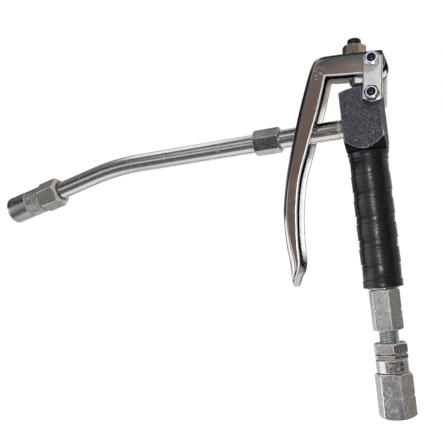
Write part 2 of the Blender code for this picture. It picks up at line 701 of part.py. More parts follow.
def tube_route():
    """The extension tube's centre line: straight, one bend, and straight into the coupler."""
    apex = Vector((-BEND_APEX, 0, OUTLET_HEIGHT))
    down = Vector((-math.cos(BEND_ANGLE), 0, -math.sin(BEND_ANGLE)))
    radius = BEND_TANGENT / math.tan(BEND_ANGLE / 2)
    start = apex + Vector((BEND_TANGENT, 0, 0))
    steps = 8
    route = [Vector((-TUBE_START, 0, OUTLET_HEIGHT))]
    for i in range(steps + 1):
        angle = BEND_ANGLE * i / steps
        route.append(start + radius * Vector((-math.sin(angle), 0, math.cos(angle) - 1)))
    route.append(apex + down * (COUPLER_START + COUPLER_SOCKET_END - GAP))
    return route


def make_coupler():
    frame = COUPLER_FRAME
    adapter = hexagon("coupler_adapter", COUPLER_HEX_ACROSS, 0.0, COUPLER_HEX_END, COUPLER_HEX_TURN,
                      chamfer_foot=COUPLER_HEX_CHAMFER, chamfer_top=GAP, frame=frame)
    spigot = turned("coupler_adapter_spigot", [
        (0, SPRING_GUIDE_END), (SPRING_GUIDE_RADIUS, SPRING_GUIDE_END),
        (SPRING_GUIDE_RADIUS, COUPLER_SPIGOT_END), (COUPLER_SPIGOT_RADIUS, COUPLER_SPIGOT_END),
        (COUPLER_SPIGOT_RADIUS, COUPLER_SOCKET_END), (0, COUPLER_SOCKET_END)], SIDES, frame)
    boolean(adapter, spigot, "UNION")
    socket = PIPE_RADIUS + GAP
    past = 2 * GAP
    bore = turned("coupler_adapter_bore", [
        (0, SPRING_GUIDE_END + past), (PIPE_BORE_RADIUS, SPRING_GUIDE_END + past),
        (PIPE_BORE_RADIUS, COUPLER_SOCKET_END), (socket, COUPLER_SOCKET_END), (socket, -past), (0, -past)],
        SMALL_SIDES, frame)
    boolean(adapter, bore, "DIFFERENCE")
    settle(adapter, "turned_steel")

    start = COUPLER_HEX_END + GAP
    rim = 2 * GAP
    sleeve = turned("coupler_sleeve", [
        (COUPLER_RADIUS - rim, COUPLER_END), (COUPLER_RADIUS, COUPLER_END - rim), (COUPLER_RADIUS, start),
        (COUPLER_BORE_RADIUS, start), (COUPLER_BORE_RADIUS, COUPLER_TAPER_START),
        (COUPLER_MOUTH_RADIUS, COUPLER_END)], frame=frame)
    settle(sleeve, "turned_steel")

    slide = COUPLER_BORE_RADIUS - GAP
    plunger = turned("coupler_plunger", ring_profile(slide, PIPE_BORE_RADIUS, PLUNGER_END, PLUNGER_START),
                     SMALL_SIDES, frame)
    settle(plunger, "brass")
    seal = turned("coupler_seal", ring_profile(SEAL_RADIUS, PIPE_BORE_RADIUS, SEAL_END, PLUNGER_END + GAP),
                  SMALL_SIDES, frame)
    settle(seal, "seal_rubber")
    spring = helix("coupler_spring", COUPLER_SPRING_RADIUS, COUPLER_SPRING_WIRE, COUPLER_SPRING_TURNS,
                   COUPLER_SPRING_START, COUPLER_SPRING_END, frame)
    settle(spring, "spring_steel")
    for number in range(JAW_COUNT):
        make_jaw(number, frame)


def make_jaw(number, frame):
    """One gripping jaw: a sector of a ring that tapers with the sleeve's nose."""
    shoulder = COUPLER_TAPER_START - GAP
    slope = (COUPLER_BORE_RADIUS - COUPLER_MOUTH_RADIUS) / (COUPLER_END - COUPLER_TAPER_START)
    back_radius = COUPLER_BORE_RADIUS - 2 * GAP
    nose_radius = back_radius - slope * (JAW_END - shoulder)
    lip = JAW_INNER_RADIUS + 2 * GAP
    profile = [(back_radius, JAW_START), (back_radius, shoulder), (nose_radius, JAW_END),
               (JAW_INNER_RADIUS, JAW_END), (JAW_INNER_RADIUS, shoulder), (lip, JAW_START)]
    middle = 2 * math.pi * (number + 0.5) / JAW_COUNT
    sector = bmesh.new()
    first = Matrix.Rotation(middle - JAW_ANGLE / 2, 3, "Z")
    verts = [sector.verts.new(first @ Vector((radius, 0, height))) for radius, height in profile]
    face = sector.faces.new(verts)
    bmesh.ops.spin(sector, geom=[face, *face.edges, *verts], cent=(0, 0, 0), axis=(0, 0, 1),
                   angle=JAW_ANGLE, steps=6, use_duplicate=False)
    bmesh.ops.recalc_face_normals(sector, faces=sector.faces)
    name = "coupler_jaw_%d" % (number + 1)
    mesh = bpy.data.meshes.new(name)
    sector.to_mesh(mesh)
    sector.free()
    settle(new_object(name, mesh, frame), "turned_steel")


def link_outline():
    """A link's outline: straight sides, and a broad arc at each end."""
    lower = Vector(LOWER_PIVOT)
    along = (Vector(UPPER_PIVOT) - lower)
    length = along.length
    along = along / length
    side = Vector((along.y, -along.x))
    half_angle = math.asin(LINK_WIDTH / 2 / LINK_END_ARC)
    steps = 6
    outline = []
    for centre, way in ((length + LINK_END_REACH - LINK_END_ARC, 1), (LINK_END_ARC - LINK_END_REACH, -1)):
        for i in range(steps + 1):
            angle = way * (half_angle - 2 * half_angle * i / steps)
            reach = centre + way * LINK_END_ARC * math.cos(angle)
            outline.append(lower + along * reach + side * LINK_END_ARC * math.sin(angle))
    return outline


def make_links():
    holes = [circle(LOWER_PIVOT, BOLT_HOLE_RADIUS), circle(UPPER_PIVOT, BOLT_HOLE_RADIUS)]
    for name, face in (("near_link", -1), ("far_link", 1)):
        faces = sorted((face * LINK_INNER, face * (LINK_INNER + LINK_THICKNESS)))
        settle(plate(name, [link_outline()] + holes, *faces), "zinc", LINK_PIVOT)


def make_pivot_hardware(name, centre):
    """A bolt through both links, its self-locking nut and the nut's nylon insert."""
    frame = across_y(centre)
    seat = LINK_INNER + LINK_THICKNESS + GAP
    bolt_end = -(seat + NUT_HEIGHT - GAP)
    rim = BOLT_HEAD_RADIUS - GAP
    head_top = seat + BOLT_HEAD_HEIGHT
    bolt = turned(name + "_pivot_bolt", [
        (0, head_top), (rim, head_top), (BOLT_HEAD_RADIUS, head_top - GAP), (BOLT_HEAD_RADIUS, seat),
        (BOLT_RADIUS, seat), (BOLT_RADIUS, bolt_end), (0, bolt_end)], SMALL_SIDES, frame)
    settle(bolt, "black_steel")
    nut_top = -seat
    nut_end = -(seat + NUT_HEIGHT)
    nut = hexagon(name + "_pivot_nut", NUT_ACROSS, -(seat + NUT_HEX_HEIGHT), nut_top, NUT_TURNS[name],
                  chamfer_foot=GAP, frame=frame)
    collar = cylinder(name + "_pivot_nut_collar", NUT_COLLAR_RADIUS, nut_end, nut_top - GAP, SMALL_SIDES,
                      frame)
    boolean(nut, collar, "UNION")
    insert_hole = INSERT_OUTER_RADIUS + GAP / 2
    insert_top = nut_end + INSERT_HEIGHT
    hole = turned(name + "_pivot_nut_hole", [
        (0, nut_top + GAP), (BOLT_HOLE_RADIUS, nut_top + GAP), (BOLT_HOLE_RADIUS, insert_top),
        (insert_hole, insert_top), (insert_hole, nut_end - GAP), (0, nut_end - GAP)], SMALL_SIDES, frame)
    boolean(nut, hole, "DIFFERENCE")
    settle(nut, "zinc")
    insert = turned(name + "_nut_insert", ring_profile(
        INSERT_OUTER_RADIUS, INSERT_INNER_RADIUS, insert_top - GAP, nut_end), SMALL_SIDES, frame)
    settle(insert, "blue_nylon")


def arm_end():
    """The round end of the lever's arm, about the upper pivot, from its lower edge up to its top corner."""
    steps = 6
    first = math.radians(-95)
    last = math.radians(25)
    angles = [first + (last - first) * i / steps for i in range(steps + 1)]
    pivot = Vector(UPPER_PIVOT)
    return [pivot + ARM_END_RADIUS * Vector((math.cos(a), math.sin(a))) for a in angles]


def tongue_outline():
    """The lever's outline seen along X, as (y, z): straight sides, rounded at the tip."""
    half = LEVER_HALF_WIDTH + GAP
    top = LEVER_OUTER_EDGE[0][1] + LEVER_HALF_WIDTH
    steps = 12
    arc = [math.pi + math.pi * i / steps for i in range(steps + 1)]
    tip = [(half * math.cos(a), TONGUE_START + TONGUE_LENGTH * math.sin(a)) for a in arc]
    return tip + [(half, top), (-half, top)]


def make_trigger_lever():
    outer = smooth_edge(LEVER_OUTER_EDGE)
    inner = smooth_edge(LEVER_INNER_EDGE)
    tip = [Vector(p) for p in LEVER_TIP]
    outline = outer + tip + inner[:-1] + arm_end()
    pivot_hole = circle(UPPER_PIVOT, BOLT_HOLE_RADIUS)
    lever = plate("trigger_lever", [outline, pivot_hole], -LEVER_HALF_WIDTH, LEVER_HALF_WIDTH)

    web_inside = [p for p in offset_path(outer, LEVER_WEB) if p.y > CHANNEL_END]
    run = CHANNEL_CLEAR_X - web_inside[0].x
    right = web_inside[0] + Vector((run, -run * math.tan(SCREW_TILT)))
    foot = Vector((web_inside[-1].x, CHANNEL_END))
    pocket = [right] + web_inside + [foot, Vector((CHANNEL_CLEAR_X, CHANNEL_END))]
    half_gap = LEVER_HALF_WIDTH - LEVER_WALL
    boolean(lever, plate("trigger_lever_channel", [pocket], -half_gap, half_gap), "DIFFERENCE")

    slot = [(WEB_SLOT_LEFT, WEB_SLOT_FOOT), (WEB_SLOT_RIGHT, WEB_SLOT_FOOT),
            (WEB_SLOT_RIGHT, WEB_SLOT_TOP), (WEB_SLOT_LEFT, WEB_SLOT_TOP)]
    half_slot = WEB_SLOT_WIDTH / 2
    boolean(lever, plate("trigger_lever_slot", [slot], -half_slot, half_slot), "DIFFERENCE")
    hole = cylinder("trigger_lever_screw_hole", SCREW_HOLE_RADIUS, SCREW_FOOT, SCREW_TOP, SMALL_SIDES,
                    SCREW_FRAME)
    boolean(lever, hole, "DIFFERENCE")
    tongue = plate("trigger_lever_tongue", [tongue_outline()], -CHANNEL_CLEAR_X, 2 * CHANNEL_CLEAR_X,
                   math.pi / 2)
    boolean(lever, tongue, "INTERSECT")
    settle(lever, "chrome", TRIGGER_PIVOT)


def make_adjusting_screw():
    steps = 4
    angles = [math.pi / 2 * i / steps for i in range(steps + 1)]
    dome = [(math.sin(a), SCREW_DOME * math.cos(a)) for a in angles]
    top = [(SCREW_END_RADIUS * share, SCREW_TOP - SCREW_DOME + height) for share, height in dome]
    top += [(SCREW_END_RADIUS, SCREW_END_FOOT), (SCREW_RADIUS, SCREW_END_FOOT)]
    foot = [(SCREW_RADIUS * share, SCREW_FOOT + SCREW_DOME - height) for share, height in reversed(dome)]
    settle(turned("adjusting_screw", top + foot, SMALL_SIDES, SCREW_FRAME), "black_steel")
    make_hex_ring("adjusting_locknut", SCREW_NUT_ACROSS, SCREW_NUT_FOOT, SCREW_NUT_TOP, SCREW_NUT_TURN,
                  SCREW_RADIUS + GAP, "zinc", chamfer=GAP, frame=SCREW_FRAME)


clear_scene()
PARTS = new_collection("grease_gun")
CUTTERS = new_collection("cutters")
STEM_PIVOT = pivot_empty("stem_axis", (0, 0, STEM_TIP))
SWIVEL_PIVOT = pivot_empty("swivel_axis", (0, 0, SWIVEL_TOP))
LINK_PIVOT = pivot_empty("link_axis", (LOWER_PIVOT[0], 0, LOWER_PIVOT[1]))
TRIGGER_PIVOT = pivot_empty("trigger_axis", (UPPER_PIVOT[0], 0, UPPER_PIVOT[1]))
SCREW_FRAME = pivot_empty("screw_frame", (SCREW_POINT[0], 0, SCREW_POINT[1]), SCREW_TILT)
OUTLET_FRAME = pivot_empty("outlet_frame", (0, 0, OUTLET_HEIGHT), -math.pi / 2)
COUPLER_REAR = (-BEND_APEX - COUPLER_START * math.cos(BEND_ANGLE), 0,
                OUTLET_HEIGHT - COUPLER_START * math.sin(BEND_ANGLE))
COUPLER_FRAME = pivot_empty("coupler_frame", COUPLER_REAR, -math.pi / 2 - BEND_ANGLE)

make_valve_body()
make_valve_train()
make_handle()
make_inlet_adapter()
make_swivel()
make_outlet()
make_coupler()
make_links()
make_pivot_hardware("lower", LOWER_PIVOT)
make_pivot_hardware("upper", UPPER_PIVOT)
make_trigger_lever()
make_adjusting_screw()
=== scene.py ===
"""Looks of the hose-fed grease control gun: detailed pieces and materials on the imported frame.

Lengths are in millimetres in the frame's own axes, and become metres when a mesh is made.
Angles of a turned or hexagon piece run from its own -Y towards its own +X.
"""

import math

import bmesh
import bpy
from mathutils import Matrix, Vector


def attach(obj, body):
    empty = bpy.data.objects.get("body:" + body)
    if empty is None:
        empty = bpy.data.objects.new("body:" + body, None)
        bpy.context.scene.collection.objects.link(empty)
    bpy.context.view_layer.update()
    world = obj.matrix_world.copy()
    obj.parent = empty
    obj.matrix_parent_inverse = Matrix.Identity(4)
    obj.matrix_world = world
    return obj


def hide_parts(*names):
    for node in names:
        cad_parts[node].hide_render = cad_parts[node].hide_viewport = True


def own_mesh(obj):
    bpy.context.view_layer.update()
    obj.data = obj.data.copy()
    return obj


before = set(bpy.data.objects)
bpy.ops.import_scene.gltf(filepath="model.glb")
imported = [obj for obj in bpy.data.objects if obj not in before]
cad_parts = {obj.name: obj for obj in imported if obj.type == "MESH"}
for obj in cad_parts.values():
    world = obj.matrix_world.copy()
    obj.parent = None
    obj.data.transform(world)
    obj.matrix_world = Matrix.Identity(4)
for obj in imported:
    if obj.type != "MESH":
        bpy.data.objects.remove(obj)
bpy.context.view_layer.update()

MM = 0.001
TAU = 2 * math.pi
SIDES = 144
SHARP = math.radians(25)
HEX_BLUNT = 0.11
HEX_STEPS = 16
HEX_SLOPE = math.tan(math.radians(30))

# Camera: its place in metres and the directions of the picture's right and down
IMAGE_SIZE = 443
CAMERA_PLACE = (0.04022, -0.34510, -0.01877)
CAMERA_RIGHT = (0.93307611, 0.34671586, -0.09569263)
CAMERA_DOWN = (-0.11703136, 0.04108691, -0.99227795)
CAMERA_FOCAL_PIXELS = 650.0
CAMERA_SENSOR = 36.0
CAMERA_NUDGE = (0.35, 0.35)

# Valve head
BAR_WIDTH = 20.7
BAR_DEPTH = 22.8
BAR_CORNER = 0.25
BODY_TOP = 69.7
BODY_TOP_RADIUS = 11.8
BODY_UPPER_SHOULDER = 68.2
BODY_TURNED_RADIUS = 15.3
BODY_LOWER_SHOULDER = 42.9
BODY_FOOT = 37.6
BODY_FOOT_RADIUS = 11.25
RECESS_LEFT = 1.1
RECESS_FLOOR = 58.1
RECESS_PLANE = 10.0
RECESS_CORNER = 5.0
WORN_HEIGHTS = (48.0, 42.0)

# Gland nut over the valve stem
GLAND_ACROSS = 9.5
GLAND_TURN = math.radians(9)
GLAND_TOP = 77.0
GLAND_FOOT = 73.2
GLAND_BORE = 2.05

# Grip sleeve
GRIP_TOP = 37.3
GRIP_FLARE = 10.85
GRIP_FLARE_END = 34.8
GRIP_END = -33.7
GRIP_BORE = 8.3
GRIP_RADIUS = 10.15
GRIP_RECESS = 9.85
GRIP_LIP = 0.08
GRIP_GROOVE = 0.32
GRIP_COLLAR_END = 32.6
GRIP_BAND_TOP = 24.9
GRIP_BAND_PITCH = 12.72
GRIP_BAND_HEIGHT = 8.3
GRIP_BANDS = 4
GRIP_LEAN = 0.09
GRIP_RING_TOP = -29.7

# Inlet adapter and hose swivel
ADAPTER_ACROSS = 14.29
ADAPTER_TURN = math.radians(-10.4)
ADAPTER_TOP = -34.7
ADAPTER_END = -55.7
NIPPLE_RADIUS = 5.2
NIPPLE_END = -72.8
THREAD_PITCH = 1.2
THREAD_DEPTH = 0.75
LOCKNUT_ACROSS = 15.88
LOCKNUT_TURN = math.radians(-15.4)
LOCKNUT_TOP = -62.1
LOCKNUT_END = -67.5
FLANGE_ACROSS = 15.6
FLANGE_TOP = -67.8
FLANGE_END = -70.0
COLLAR_RADIUS = 8.25
COLLAR_TOP = -70.3
COLLAR_END = -76.9
SPINDLE_RADIUS = 4.8
SPINDLE_END = -91.2
FLOW_RADIUS = 2.4
SWIVEL_ACROSS = 17.0
SWIVEL_TURN = math.radians(-5.4)
SWIVEL_TOP = -77.2
SWIVEL_END = -99.8
SWIVEL_BORE = 5.1
SWIVEL_SHOULDER = -86.8
HOSE_BORE = 6.2

# Outlet: distances along -X from the handle's axis, at the outlet's height
OUTLET_HEIGHT = 51.4
PIPE_RADIUS = 5.2
NECK_START = 10.65
NECK_END = 53.4
NECK_GROOVE = 13.0
COUPLING_ACROSS = 12.7
COUPLING_TURN = math.radians(-18.5)
COUPLING_START = 45.8
COUPLING_END = 60.8
TUBE_START = 54.0
BEND_APEX = 148.6
BEND_ANGLE = math.radians(13)
BEND_TANGENT = 15.5

# Grease coupler: distances along its axis from its rear face
COUPLER_START = 41.5
COUPLER_ACROSS = 16.0
COUPLER_TURN = math.radians(-14)
COUPLER_HEX_END = 13.5
SLEEVE_START = 13.8
SLEEVE_BAND_END = 23.0
SLEEVE_END = 36.8
SLEEVE_RADIUS = 8.2
SLEEVE_BORE = 6.7
SLEEVE_TAPER = 31.8
SLEEVE_MOUTH = 5.2
NOTCH_HALF = 0.9
NOTCH_DEPTH = 1.0
TUBE_IN_COUPLER = 10.5

# Links and pivots, as (x, z)
LOWER_PIVOT = (6.9, 64.5)
UPPER_PIVOT = (8.9, 81.8)
LINK_WIDTH = 9.9
LINK_ARC = 7.0
LINK_REACH = 4.0
LINK_INNER = 10.3
LINK_OUTER = 12.5
NUT_ACROSS = 7.0
NUT_TURNS = {"lower": math.radians(12), "upper": math.radians(28)}
NUT_HEX = 3.2
NUT_HEIGHT = 4.6
NUT_COLLAR = 2.85
NUT_ROLL = 2.35
COLLAR_ROWS = 6
NUT_SEAT = 12.8
BOLT_RADIUS = 2.0
INSERT_OUTER = 2.6
INSERT_INNER = 2.1
HEAD_RADIUS = 3.5
HEAD_HEIGHT = 2.6

# Valve spring, inside the head: it shortens as the stem goes down
COIL_RADIUS = 2.6
COIL_WIRE = 0.4
COIL_TURNS = 6
COIL_FOOT = 24.8
COIL_TOP = 36.7

# Trigger lever: pairs of (outer x, outer z, inner x, inner z) from the arm's end to the tip
LEVER_HALF = 10.0
LEVER_WALL = 2.2
LEVER_WEB = 2.0
LEVER_CORNER = 2.9
ROUNDING_START, ROUNDING_END = -2.0, -20.0
LEVER_RIM = 0.65
LEVER_DRAFT = math.tan(math.radians(4))
# Inside the lever's channel: the width of the painted lit margin, and the places round half a section
# where the rim's painted highlight runs and the margin lies; the rest inside is painted shade
BRIGHT_MARGIN = 2.2
RIM_FIRST, RIM_LAST, MARGIN_PLACE = 14, 18, 25
# Rings at the arm's end that take the painted shade of the channel's inside
ARM_END_SHADED_RINGS = 9
SCRATCH_PLACE = (-20.0, -9.8, 81.5)
SCRATCH_REACH = 6.5
# The painted reflection tint on the near face of the lever's arm: where it comes in along X, Z and Y,
# and where painted shade darkens it towards the arm's sloping top edge, all in metres, and how much
ARM_START = (-0.016, 0.0)
ARM_FOOT = (0.068, 0.074)
ARM_NEAR = (-0.0074, -0.0092)
ARM_SHADE_BAND = (0.0815, 0.0885)
ARM_SLOPE = 0.09
ARM_SHADE = 0.85
LEVER_STATIONS = [
    (13.9, 86.9, 14.75, 82.6), (13.3, 87.4, 14.5, 80.2), (12.0, 87.6, 13.3, 78.0),
    (10.0, 87.8, 11.2, 76.5), (7.0, 88.1, 8.3, 76.0), (2.0, 88.55, 3.0, 76.7),
    (-5.0, 89.25, -4.5, 77.5), (-12.6, 89.8, -11.6, 78.4), (-16.5, 89.95, -14.6, 78.85),
    (-19.4, 89.5, -15.8, 79.1), (-21.6, 88.4, -16.35, 78.8), (-23.2, 86.1, -16.7, 78.1),
    (-24.9, 82.7, -17.6, 75.7), (-26.9, 77.9, -19.0, 71.4), (-31.6, 65.7, -22.7, 60.9),
    (-35.1, 55.6, -26.6, 51.3), (-39.8, 41.0, -31.4, 39.2), (-43.3, 28.5, -35.8, 27.3),
    (-45.9, 15.8, -38.45, 14.8), (-47.0, 6.3, -39.6, 6.0), (-47.1, -6.6, -40.4, -6.6),
    (-46.5, -15.1, -40.4, -15.1), (-46.2, -19.5, -40.9, -19.2), (-46.05, -22.5, -42.0, -22.3),
    (-46.1, -23.8, -42.8, -23.6), (-45.4, -24.5, -43.2, -24.3), (-46.0, -25.2, -43.6, -25.0),
    (-45.95, -27.0, -44.2, -26.9), (-45.85, -28.6, -44.6, -28.5),
    (-45.6, -29.7, -45.1, -29.7),
]
LEVER_STEPS = 5
CHANNEL_FADE = (-15.5, -21.5)
TONGUE_START = -20.0
TONGUE_LENGTH = 11.0
TIP_HALF_LEAST = 1.3
SLOT_FOOT = 44.0
SLOT_TOP = 71.5
SLOT_HALF = 5.8
SLOT_LEFT = -50.0
SLOT_RIGHT = -20.0

# Adjusting screw, along its own axis from the point at its nut's middle
SCREW_POINT = (-1.1, 91.9)
SCREW_TILT = math.radians(5.2)
SCREW_RADIUS = 3.18
SCREW_TOP = 7.0
SCREW_FOOT = -11.3
SCREW_DOME = 1.7
SCREW_END_RADIUS = 3.65
SCREW_END_FOOT = 3.4
SCREW_NUT_ACROSS = 11.1
SCREW_NUT_TURN = math.radians(-0.4)
SCREW_NUT_FOOT = -2.9
SCREW_NUT_TOP = 2.8


class Look:
    """A procedural Principled material, with short names for the nodes that shape it."""

    def __init__(self, name, metallic):
        self.material = bpy.data.materials.new(name)
        self.material.use_nodes = True
        self.tree = self.material.node_tree
        self.shader = self.tree.nodes["Principled BSDF"]
        self.shader.inputs["Metallic"].default_value = metallic
        self.place = self.node("ShaderNodeTexCoord").outputs["Object"]

    def node(self, kind, **settings):
        node = self.tree.nodes.new(kind)
        for name, value in settings.items():
            setattr(node, name, value)
        return node

    def feed(self, socket, value):
        """Wire an output into a socket, or set a plain value on it."""
        if isinstance(value, bpy.types.NodeSocket):
            self.tree.links.new(value, socket)
        elif isinstance(value, tuple):
            socket.default_value = (*value, 1.0)
        else:
            socket.default_value = value

    def noise(self, size, detail=2.0, stretch=(1, 1, 1), shift=0.0, slant=0.0):
        """Cloudy noise with features of a size in mm, drawn out along each axis by its stretch.

        The axes are first turned about Y by a slant.
        """
        mapping = self.node("ShaderNodeMapping", vector_type="TEXTURE")
        mapping.inputs["Scale"].default_value = [size * MM * s for s in stretch]
        mapping.inputs["Rotation"].default_value = (0.0, slant, 0.0)
        mapping.inputs["Location"].default_value = [MM * shift * s for s in (7.0, 5.0, 9.0)]
        self.feed(mapping.inputs["Vector"], self.place)
        noise = self.node("ShaderNodeTexNoise")
        noise.inputs["Scale"].default_value = 1.0
        noise.inputs["Detail"].default_value = detail
        self.feed(noise.inputs["Vector"], mapping.outputs["Vector"])
        return noise.outputs["Fac"]

    def rise(self, value, low, high, least=0.0, most=1.0):
        """A value's way from low to high, as a way from least to most."""
        node = self.node("ShaderNodeMapRange")
        for name, part in zip(("From Min", "From Max", "To Min", "To Max"), (low, high, least, most)):
            node.inputs[name].default_value = part
        self.feed(node.inputs["Value"], value)
        return node.outputs["Result"]

    def sum(self, operation, first, second):
        node = self.node("ShaderNodeMath", operation=operation)
        self.feed(node.inputs[0], first)
        self.feed(node.inputs[1], second)
        return node.outputs[0]

    def blend(self, factor, first, second):
        """The first colour, turning to the second where the factor is 1."""
        node = self.node("ShaderNodeMix", data_type="RGBA")
        self.feed(node.inputs["Factor"], factor)
        self.feed(node.inputs[6], first)
        self.feed(node.inputs[7], second)
        return node.outputs[2]

    def edges(self, radius, flat_dot=0.995, edge_dot=0.90):
        """1 along edges and corners within a radius in mm, 0 on open surfaces."""
        bevel = self.node("ShaderNodeBevel", samples=6)
        bevel.inputs["Radius"].default_value = radius * MM
        flat = self.node("ShaderNodeNewGeometry").outputs["Normal"]
        dot = self.node("ShaderNodeVectorMath", operation="DOT_PRODUCT")
        self.feed(dot.inputs[0], bevel.outputs["Normal"])
        self.feed(dot.inputs[1], flat)
        return self.rise(dot.outputs["Value"], flat_dot, edge_dot)

    def bump(self, height, depth):
        """Relief of a depth in mm from a height between 0 and 1."""
        node = self.node("ShaderNodeBump")
        node.inputs["Distance"].default_value = depth * MM
        self.feed(node.inputs["Height"], height)
        self.feed(self.shader.inputs["Normal"], node.outputs["Normal"])

    def finish(self, colour, roughness):
        self.feed(self.shader.inputs["Base Color"], colour)
        self.feed(self.shader.inputs["Roughness"], roughness)
        return self.material


def plated_look(name, dark, light, grain, rough, worn, relief=0.03, edge=0.4, lines=None, metal=1.0,
                slant=0.0, rub=0.70):
    """Plated or bare metal: grainy and cloudy tone, hair scratches and bright worn edges.

    lines is a (size, stretch) of drawn or turned marks, or None. slant turns the scratches, and a
    lower rub makes more of them.
    """
    look = Look(name, metal)
    fine = look.noise(grain, detail=2.0)
    cloud = look.noise(5.0, detail=2.0, shift=3.1)
    tone = look.sum("ADD", look.rise(fine, 0.40, 0.62, 0.0, 0.72),
                    look.rise(cloud, 0.38, 0.62, 0.0, 0.28))
    colour = look.blend(tone, dark, light)
    height = fine
    if lines:
        size, stretch = lines
        marks = look.noise(size, detail=3.0, stretch=stretch, shift=7.7)
        colour = look.blend(look.rise(marks, 0.52, 0.68, 0.0, 0.5), colour, dark)
        height = look.sum("ADD", fine, marks)
    scratch = look.rise(look.noise(0.45, 1.0, (1, 1, 10), 1.9, slant), rub, rub + 0.05)
    across = look.rise(look.noise(0.45, 1.0, (10, 1, 1), 5.3, slant), rub + 0.01, rub + 0.06)
    rubs = look.sum("MULTIPLY", look.sum("MAXIMUM", scratch, across), 0.5)
    wear = look.sum("MAXIMUM", look.edges(edge, 0.997, 0.96), rubs)
    colour = look.blend(wear, colour, worn)
    look.feed(look.shader.inputs["Metallic"], look.rise(wear, 0.0, 1.0, metal, metal * 0.35))
    roughness = look.rise(fine, 0.3, 0.7, rough - 0.07, rough + 0.07)
    look.bump(height, relief)
    return look.finish(colour, roughness)


def chrome_look():
    """Polished chrome: fine pits, specks, scratches where the arm bends, and on the arm's near face a
    painted reflection tint and painted shade along its top edge.
    """
    look = Look("chrome_polish", 1.0)
    pits = look.rise(look.noise(0.6, 1.0), 0.66, 0.74)
    specks = look.rise(look.noise(0.55, 2.0, shift=4.2), 0.68, 0.73)
    patches = look.rise(look.noise(9.0, 1.0, shift=2.0), 0.40, 0.58)
    bend = look.node("ShaderNodeVectorMath", operation="DISTANCE")
    look.feed(bend.inputs[0], look.place)
    bend.inputs[1].default_value = [c * MM for c in SCRATCH_PLACE]
    near_bend = look.rise(bend.outputs["Value"], SCRATCH_REACH * MM, 0.4 * SCRATCH_REACH * MM)
    strokes = look.rise(look.noise(0.5, 2.0, stretch=(4, 1, 1), shift=8.8), 0.57, 0.64)
    specks = look.sum("MULTIPLY", specks, patches)
    marks = look.sum("MAXIMUM", specks, look.sum("MULTIPLY", strokes, near_bend))
    marks = look.sum("MULTIPLY", marks, 0.6)
    colour = look.blend(pits, (0.60, 0.575, 0.56), (0.42, 0.39, 0.37))
    split = look.node("ShaderNodeSeparateXYZ")
    look.feed(split.inputs[0], look.place)
    arm = look.sum("MULTIPLY", look.rise(split.outputs["X"], *ARM_START),
                   look.rise(split.outputs["Z"], *ARM_FOOT))
    near = look.rise(split.outputs["Y"], *ARM_NEAR)
    # Painted reflection: a paler, cooler tone on the near face of the arm
    colour = look.blend(look.sum("MULTIPLY", arm, near), colour, (0.88, 0.95, 0.98))
    level = look.sum("ADD", split.outputs["Z"], look.sum("MULTIPLY", split.outputs["X"], ARM_SLOPE))
    # Painted shade: darker towards the arm's top edge, on its near face
    top = look.sum("MULTIPLY", look.rise(level, *ARM_SHADE_BAND, 0.0, ARM_SHADE), near)
    colour = look.blend(top, colour, (0.16, 0.15, 0.15))
    colour = look.blend(marks, colour, (0.95, 0.95, 0.97))
    smear = look.rise(look.noise(6.0, 3.0, shift=9.0), 0.4, 0.65, 0.06, 0.12)
    look.bump(look.noise(1.6, 2.0, shift=6.0), 0.003)
    return look.finish(colour, look.sum("ADD", smear, look.sum("MULTIPLY", marks, 0.5)))


def satin_look(name, high, low, metal, rough, tip=None):
    """The lever's inside and edges: streaked plating, of one tone high on the lever and one low, that
    carries the channel's painted light and shade and its rim's painted highlight.

    tip is a (colour, from, to) that takes over down the lever's tip, with heights in mm, or None.
    """
    look = Look(name, metal)
    streak = look.noise(0.8, 3.0, stretch=(1, 1, 9))
    fine = look.noise(0.7, 2.0, shift=2.2)
    split = look.node("ShaderNodeSeparateXYZ")
    look.feed(split.inputs[0], look.place)
    colour = look.blend(look.rise(split.outputs["Z"], 0.062, 0.045), high, low)
    colour = look.blend(look.rise(streak, 0.40, 0.70, 0.0, 0.25), colour, (0.45, 0.43, 0.42))
    if tip:
        shade, start, end = tip
        colour = look.blend(look.rise(split.outputs["Z"], start * MM, end * MM), colour, shade)
    look.bump(fine, 0.01)
    return look.finish(colour, look.rise(fine, 0.3, 0.7, rough - 0.06, rough + 0.06))


def phosphate_look(name, base, fleck, worn, rough, edge, gloss):
    """Black phosphated steel: pale crystals, rubbed spots, and edges rubbed bare, mostly low down."""
    look = Look(name, 0.0)
    grain = look.noise(0.48, 2.0)
    crystals = look.rise(grain, 0.44, 0.70)
    cloud = look.rise(look.noise(4.0, 3.0, shift=1.7), 0.35, 0.7)
    colour = look.blend(cloud, base, tuple(c * 1.3 for c in base))
    colour = look.blend(crystals, colour, fleck)
    pits = look.rise(look.noise(0.8, 2.0, shift=6.6), 0.45, 0.35)
    colour = look.blend(look.sum("MULTIPLY", pits, 0.7), colour, tuple(c * 0.3 for c in base))
    split = look.node("ShaderNodeSeparateXYZ")
    look.feed(split.inputs[0], look.place)
    low = look.rise(split.outputs["Z"], *[z * MM for z in WORN_HEIGHTS])
    strokes = look.rise(look.noise(0.5, 2.0, stretch=(1, 1, 3), shift=5.1), 0.60, 0.68)
    patches = look.rise(look.noise(4.0, 1.0, shift=8.4), 0.46, 0.58)
    spread = look.sum("MULTIPLY", patches, look.rise(low, 0.0, 1.0, 0.25, 1.0))
    rubbed = look.sum("MULTIPLY", look.sum("MULTIPLY", strokes, spread), 0.45)
    edge_noise = look.rise(look.noise(1.0, 3.0, shift=2.6), 0.34, 0.58, 0.6, 1.0)
    rim = look.sum("MULTIPLY", look.edges(edge, 0.9995, 0.975),
                   look.sum("MULTIPLY", edge_noise, look.rise(
        low, 0.0, 1.0, 0.16, 1.0)))
    colour = look.blend(look.sum("MAXIMUM", rubbed, rim), colour, worn)
    look.bump(grain, 0.03)
    look.shader.inputs["Specular IOR Level"].default_value = gloss
    return look.finish(colour, look.rise(crystals, 0.0, 1.0, rough, rough - 0.12))


